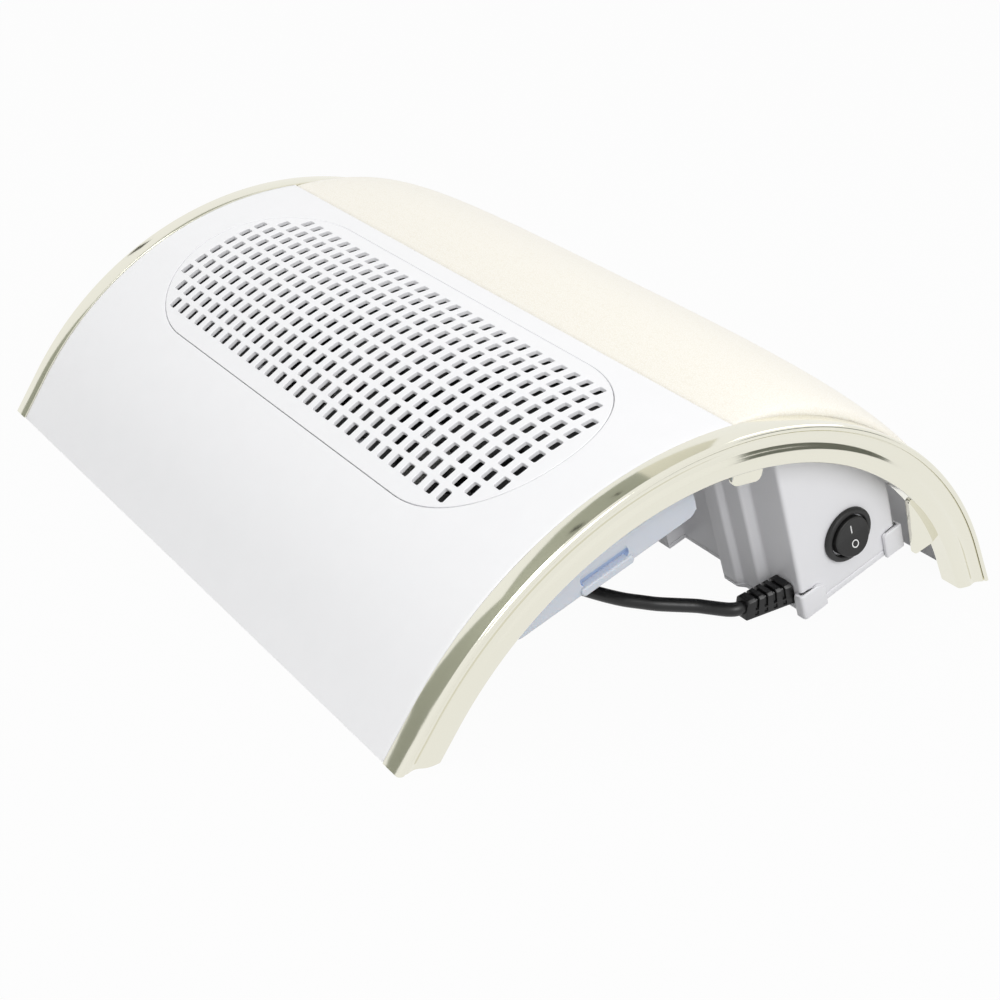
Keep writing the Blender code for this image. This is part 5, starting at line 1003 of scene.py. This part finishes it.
def lugPatch(u, side, width, corner, turn):
    # one ring a level of an angle that wraps the box's corner; its arms shorten near the top along a quarter circle,
    # short = corner - sqrt(corner squared - climb squared)
    b = boxSizes
    near, far = b["gap"], b["gap"] + b["lugProud"]
    low, high = b["bottom"] - b["lugDrop"], b["bottom"] + b["lugHeight"]
    soft, turns = 0.5, np.linspace(0, math.pi / 2, 5)
    levels = [(low, soft * 1.15), *[(low + soft * (1 - math.cos(t)), soft * (1 - math.sin(t))) for t in turns]]
    levels += [(n, 0) for n in high - corner + (corner - soft) * np.sin(np.linspace(0, math.pi / 2, 8))]
    levels += [(high - soft * (1 - math.sin(t)), soft * (1 - math.cos(t))) for t in turns[1:]] + [(high, soft * 1.15)]
    rows = []
    for n, draw in levels:
        climb = min(max(n - high + corner, 0), corner * 0.985)
        short = corner - math.sqrt(corner ** 2 - climb ** 2)
        arm, wrap = width - short, b["lugLength"] - short * 0.3
        plan = [(b["end"] + far, u - side * arm), (b["end"] + far, u + side * far), (b["end"] - wrap, u + side * far),
                (b["end"] - wrap, u + side * near), (b["end"] + near, u + side * near), (b["end"] + near, u - side * arm)]
        plan = roundCorners(plan, [0.7, turn, 0.7, 0.2, 0.2, 0.2], 5)
        rows.append(np.column_stack([inset(plan if side > 0 else plan[::-1], draw), np.full(len(plan), n)]))
    return moved(np.stack(rows) * mm, tilted), False, True, True


makeBox()
print("control box made")


# ---- rocker switch

def makeSwitch():
    switch = {"u": 96.0, "n": 60.0, "face": 153.8, "bezel": 11.5, "proud": 1.9, "barrel": 9.8, "bore": 9.0, "depth": 11.0,
              "rocker": 8.2, "top": 4.5, "dip": 1.1, "rockerDepth": 2.2, "tilt": 9.0}
    s = switch
    centre = tilted @ Matrix.Translation((0, s["u"] * mm, s["n"] * mm)) @ Matrix.Rotation(math.pi / 2, 4, "Y")
    f, p = s["face"], s["proud"]
    turns = np.linspace(0, math.pi / 2, 7)
    outerRound = [(s["bezel"] - 1.1 + 1.1 * math.sin(t), f + p - 1.1 + 1.1 * math.cos(t)) for t in turns]
    profile = [(s["bore"], f - s["depth"]), (s["bore"], f + 1.3), (s["bore"] + 0.08, f + 1.5), (s["bore"] + 0.35, f + p - 0.08),
               (s["bore"] + 0.55, f + p), *outerRound, (s["bezel"], f), (s["barrel"], f), (s["barrel"], f - s["depth"])]
    bezel = lathe(np.array(profile) * mm, centre, 96)
    makePiece("switchBezelRing", [(bezel, True, True, False)], switchNylon, "housing", ("switch_bezel",), 30)

    # rocker: a round key whose face is hollow across its hinge; local axes are x outwards, u along the hinge, n up
    turn = tilted @ Matrix.Translation((f * mm, s["u"] * mm, s["n"] * mm)) @ Matrix.Rotation(-math.radians(s["tilt"]), 4, "Y")

    def face(u, n):
        share = np.clip((np.abs(n) / s["rocker"] - 0.06) / 0.94, 0, 1)
        return s["top"] - s["dip"] * (1 - share ** 1.25)

    around = np.linspace(0, math.tau, 96, endpoint=False)
    radii = np.concatenate([[0.02], np.linspace(0.5, s["rocker"] - 0.6, 16)])
    rows = []
    for r in radii:
        u, n = r * np.cos(around), r * np.sin(around)
        rows.append(np.column_stack([face(u, n), u, n]))
    for t in np.linspace(0, math.pi / 2, 6)[1:]:
        r = s["rocker"] - 0.6 + 0.6 * math.sin(t)
        u, n = r * np.cos(around), r * np.sin(around)
        edge = face((s["rocker"] - 0.6) * np.cos(around), (s["rocker"] - 0.6) * np.sin(around))
        rows.append(np.column_stack([edge - 0.6 * (1 - math.cos(t)), u, n]))
    rim = np.column_stack([np.full(96, -s["rockerDepth"]), s["rocker"] * np.cos(around), s["rocker"] * np.sin(around)])
    rows.append(rim)
    key = moved(np.stack(rows) * mm, turn)
    makePiece("switchKey", [(key, False, True, True)], switchNylon, "rocker", ("switch_rocker",), 32)

    # the two marks are printed: a ring on the lower half and a bar on the upper one, laid on the face
    def laid(u, n, lift):
        return np.stack([face(u, n) + lift, u, n], -1)

    ringTurns = np.linspace(0, math.tau, 48, endpoint=False)
    mark = {"ringN": -3.35, "ringOuter": 1.65, "ringInner": 1.2, "barN": 3.35, "barLong": 3.7, "barWide": 0.5, "lift": 0.03}
    ring = np.stack([laid(r * np.cos(ringTurns), mark["ringN"] + r * np.sin(ringTurns), lift)
                     for r, lift in ((mark["ringInner"], -0.1), (mark["ringInner"], mark["lift"]), (mark["ringOuter"], mark["lift"]),
                                     (mark["ringOuter"], -0.1))])
    bar = roundedOutline((-mark["barWide"] / 2, mark["barN"] - mark["barLong"] / 2), (mark["barWide"] / 2, mark["barN"] + mark["barLong"] / 2), 0.1, 2)
    barGrid = np.stack([laid(bar[:, 0], bar[:, 1], lift) for lift in (-0.1, mark["lift"])])
    makePiece("switchMarks", [(moved(ring * mm, turn), True, True, False), (moved(barGrid * mm, turn), False, True, True)],
              switchPaint, "rocker", (), 40)


makeSwitch()
print("switch made")


# ---- CAD pieces that keep their shape

def dressNodes():
    finishes = {
        "fan_housing": greyAbs, "drawer_floor": greyAbs, "drawer_rail_1": greyAbs, "drawer_rail_2": greyAbs,
        "drawer_stop": greyAbs, "rear_housing": greyAbs, "rear_cover": greyAbs,
        "drawer_filter": felt, "power_board": boardGreen, "transformer": zincSteel, "fan_lead": cordPvc,
        "switch_lead": cordPvc, "switch_body": switchNylon, "capacitor_1": switchNylon, "capacitor_2": switchNylon,
        "switch_terminal_1": nickelBrass, "switch_terminal_2": nickelBrass,
    }
    for number in (1, 2, 3):
        finishes[f"fan_frame_{number}"] = fanNylon
        finishes[f"fan_rotor_{number}"] = fanNylon
        finishes[f"fan_motor_{number}"] = copperWinding
    for name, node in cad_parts.items():
        finish = zincSteel if "screw" in name else finishes.get(name)
        if finish:
            for slot in node.material_slots:
                slot.material = finish


dressNodes()


# ---- floor, world and lights

def whiteRays(tree):
    # 1 where the camera, or a ray mirrored or passed on by the object, looks at the background
    path = addNode(tree, "ShaderNodeLightPath")
    seen = addNode(tree, "ShaderNodeMath", {"operation": "MAXIMUM"}, {0: path.outputs["Is Camera Ray"], 1: path.outputs["Is Glossy Ray"]})
    return addNode(tree, "ShaderNodeMath", {"operation": "MAXIMUM"}, {0: seen.outputs[0], 1: path.outputs["Is Transmission Ray"]})


def makeStudio():
    studio = {"floorReach": 6.0, "floorGlow": 0.96, "worldLight": 0.70,
              "cards": [("lowCard", -1.0, (-1.5, -0.75), (0.03, 0.9), "#b0b3a6"), ("highCard", -1.0, (-1.5, 0.36), (0.9, 1.7), "#b0b3a6"),
                        ("paleCard", -1.0, (0.36, 0.9), (0.9, 1.7), "#f6f4e6"), ("darkCard", -0.98, (-0.30, -0.23), (1.24, 1.42), "#23221d"),
                        ("deepCard", -0.98, (0.10, 0.13), (1.2, 1.33), "#4a493f"), ("leftCard", -0.98, (-0.22, -0.16), (0.46, 0.58), "#55534a"),
                        ("sideCard", 1.3, (0.9, 2.6), (0.01, 0.4), "#85887f")],
              "lamps": [("keyLamp", (-0.3, -1.1, 1.5), 0.9, 7.5), ("fillLamp", (1.3, -0.3, 0.9), 0.8, 9.5),
                        ("backLamp", (0.2, 1.3, 1.2), 1.0, 3.5)]}
    grid = np.array([[(-1, -1, 0), (1, -1, 0)], [(-1, 1, 0), (1, 1, 0)]], float) * studio["floorReach"]
    mesh = bpy.data.meshes.new("paperFloor")
    mesh.from_pydata(grid.reshape(-1, 3).tolist(), [], [(0, 1, 3, 2)])
    floor = bpy.data.objects.new("paperFloor", mesh)
    floor.location.z = -0.0002
    bpy.context.scene.collection.objects.link(floor)
    material = bpy.data.materials.new("whitePaper")
    material.use_nodes = True
    tree = material.node_tree
    tree.nodes.clear()
    seen = whiteRays(tree)
    share = addNode(tree, "ShaderNodeMath", {"operation": "MULTIPLY", 1: studio["floorGlow"]}, {0: seen.outputs[0]})
    diffuse = addNode(tree, "ShaderNodeBsdfDiffuse", {"Color": linear("#b4b4b4")})
    glow = addNode(tree, "ShaderNodeEmission", {"Color": (1, 1, 1, 1), "Strength": 1.0})
    mix = addNode(tree, "ShaderNodeMixShader", None, {0: share.outputs[0], 1: diffuse.outputs[0], 2: glow.outputs[0]})
    addNode(tree, "ShaderNodeOutputMaterial", None, {"Surface": mix.outputs[0]})
    mesh.materials.append(material)

    world = bpy.data.worlds.new("studioWorld")
    bpy.context.scene.world = world
    world.use_nodes = True
    tree = world.node_tree
    tree.nodes.clear()
    seen = whiteRays(tree)
    base = addNode(tree, "ShaderNodeBackground", {"Color": (1, 1, 1, 1), "Strength": studio["worldLight"]})
    white = addNode(tree, "ShaderNodeBackground", {"Color": (1, 1, 1, 1), "Strength": 1.0})
    mix = addNode(tree, "ShaderNodeMixShader", None, {0: seen.outputs[0], 1: base.outputs[0], 2: white.outputs[0]})
    addNode(tree, "ShaderNodeOutputWorld", None, {"Surface": mix.outputs[0]})

    # upright cards on the far left, which the front of the chrome trims mirrors: a wide grey one and a small dark one
    for name, x, (front, rear), (low, high), colour in studio["cards"]:
        mesh = bpy.data.meshes.new(name)
        mesh.from_pydata([(x, front, low), (x, rear, low), (x, rear, high), (x, front, high)], [], [(0, 1, 2, 3)])
        mesh.materials.append(newMaterial(name, {"Base Color": linear(colour), "Roughness": 0.9})[0])
        card = bpy.data.objects.new(name, mesh)
        card.visible_camera = False      # mirrored by the chrome, never seen in front of the part
        bpy.context.scene.collection.objects.link(card)

    for name, place, size, power in studio["lamps"]:
        light = bpy.data.lights.new(name, "AREA")
        light.size, light.energy = size, power
        lamp = bpy.data.objects.new(name, light)
        lamp.location = place
        lamp.rotation_euler = (Vector(place) - Vector((0, 0, 0.05))).to_track_quat("Z", "Y").to_euler()
        bpy.context.scene.collection.objects.link(lamp)


makeStudio()
bpy.context.scene.view_settings.view_transform = "Standard"
print("studio made")
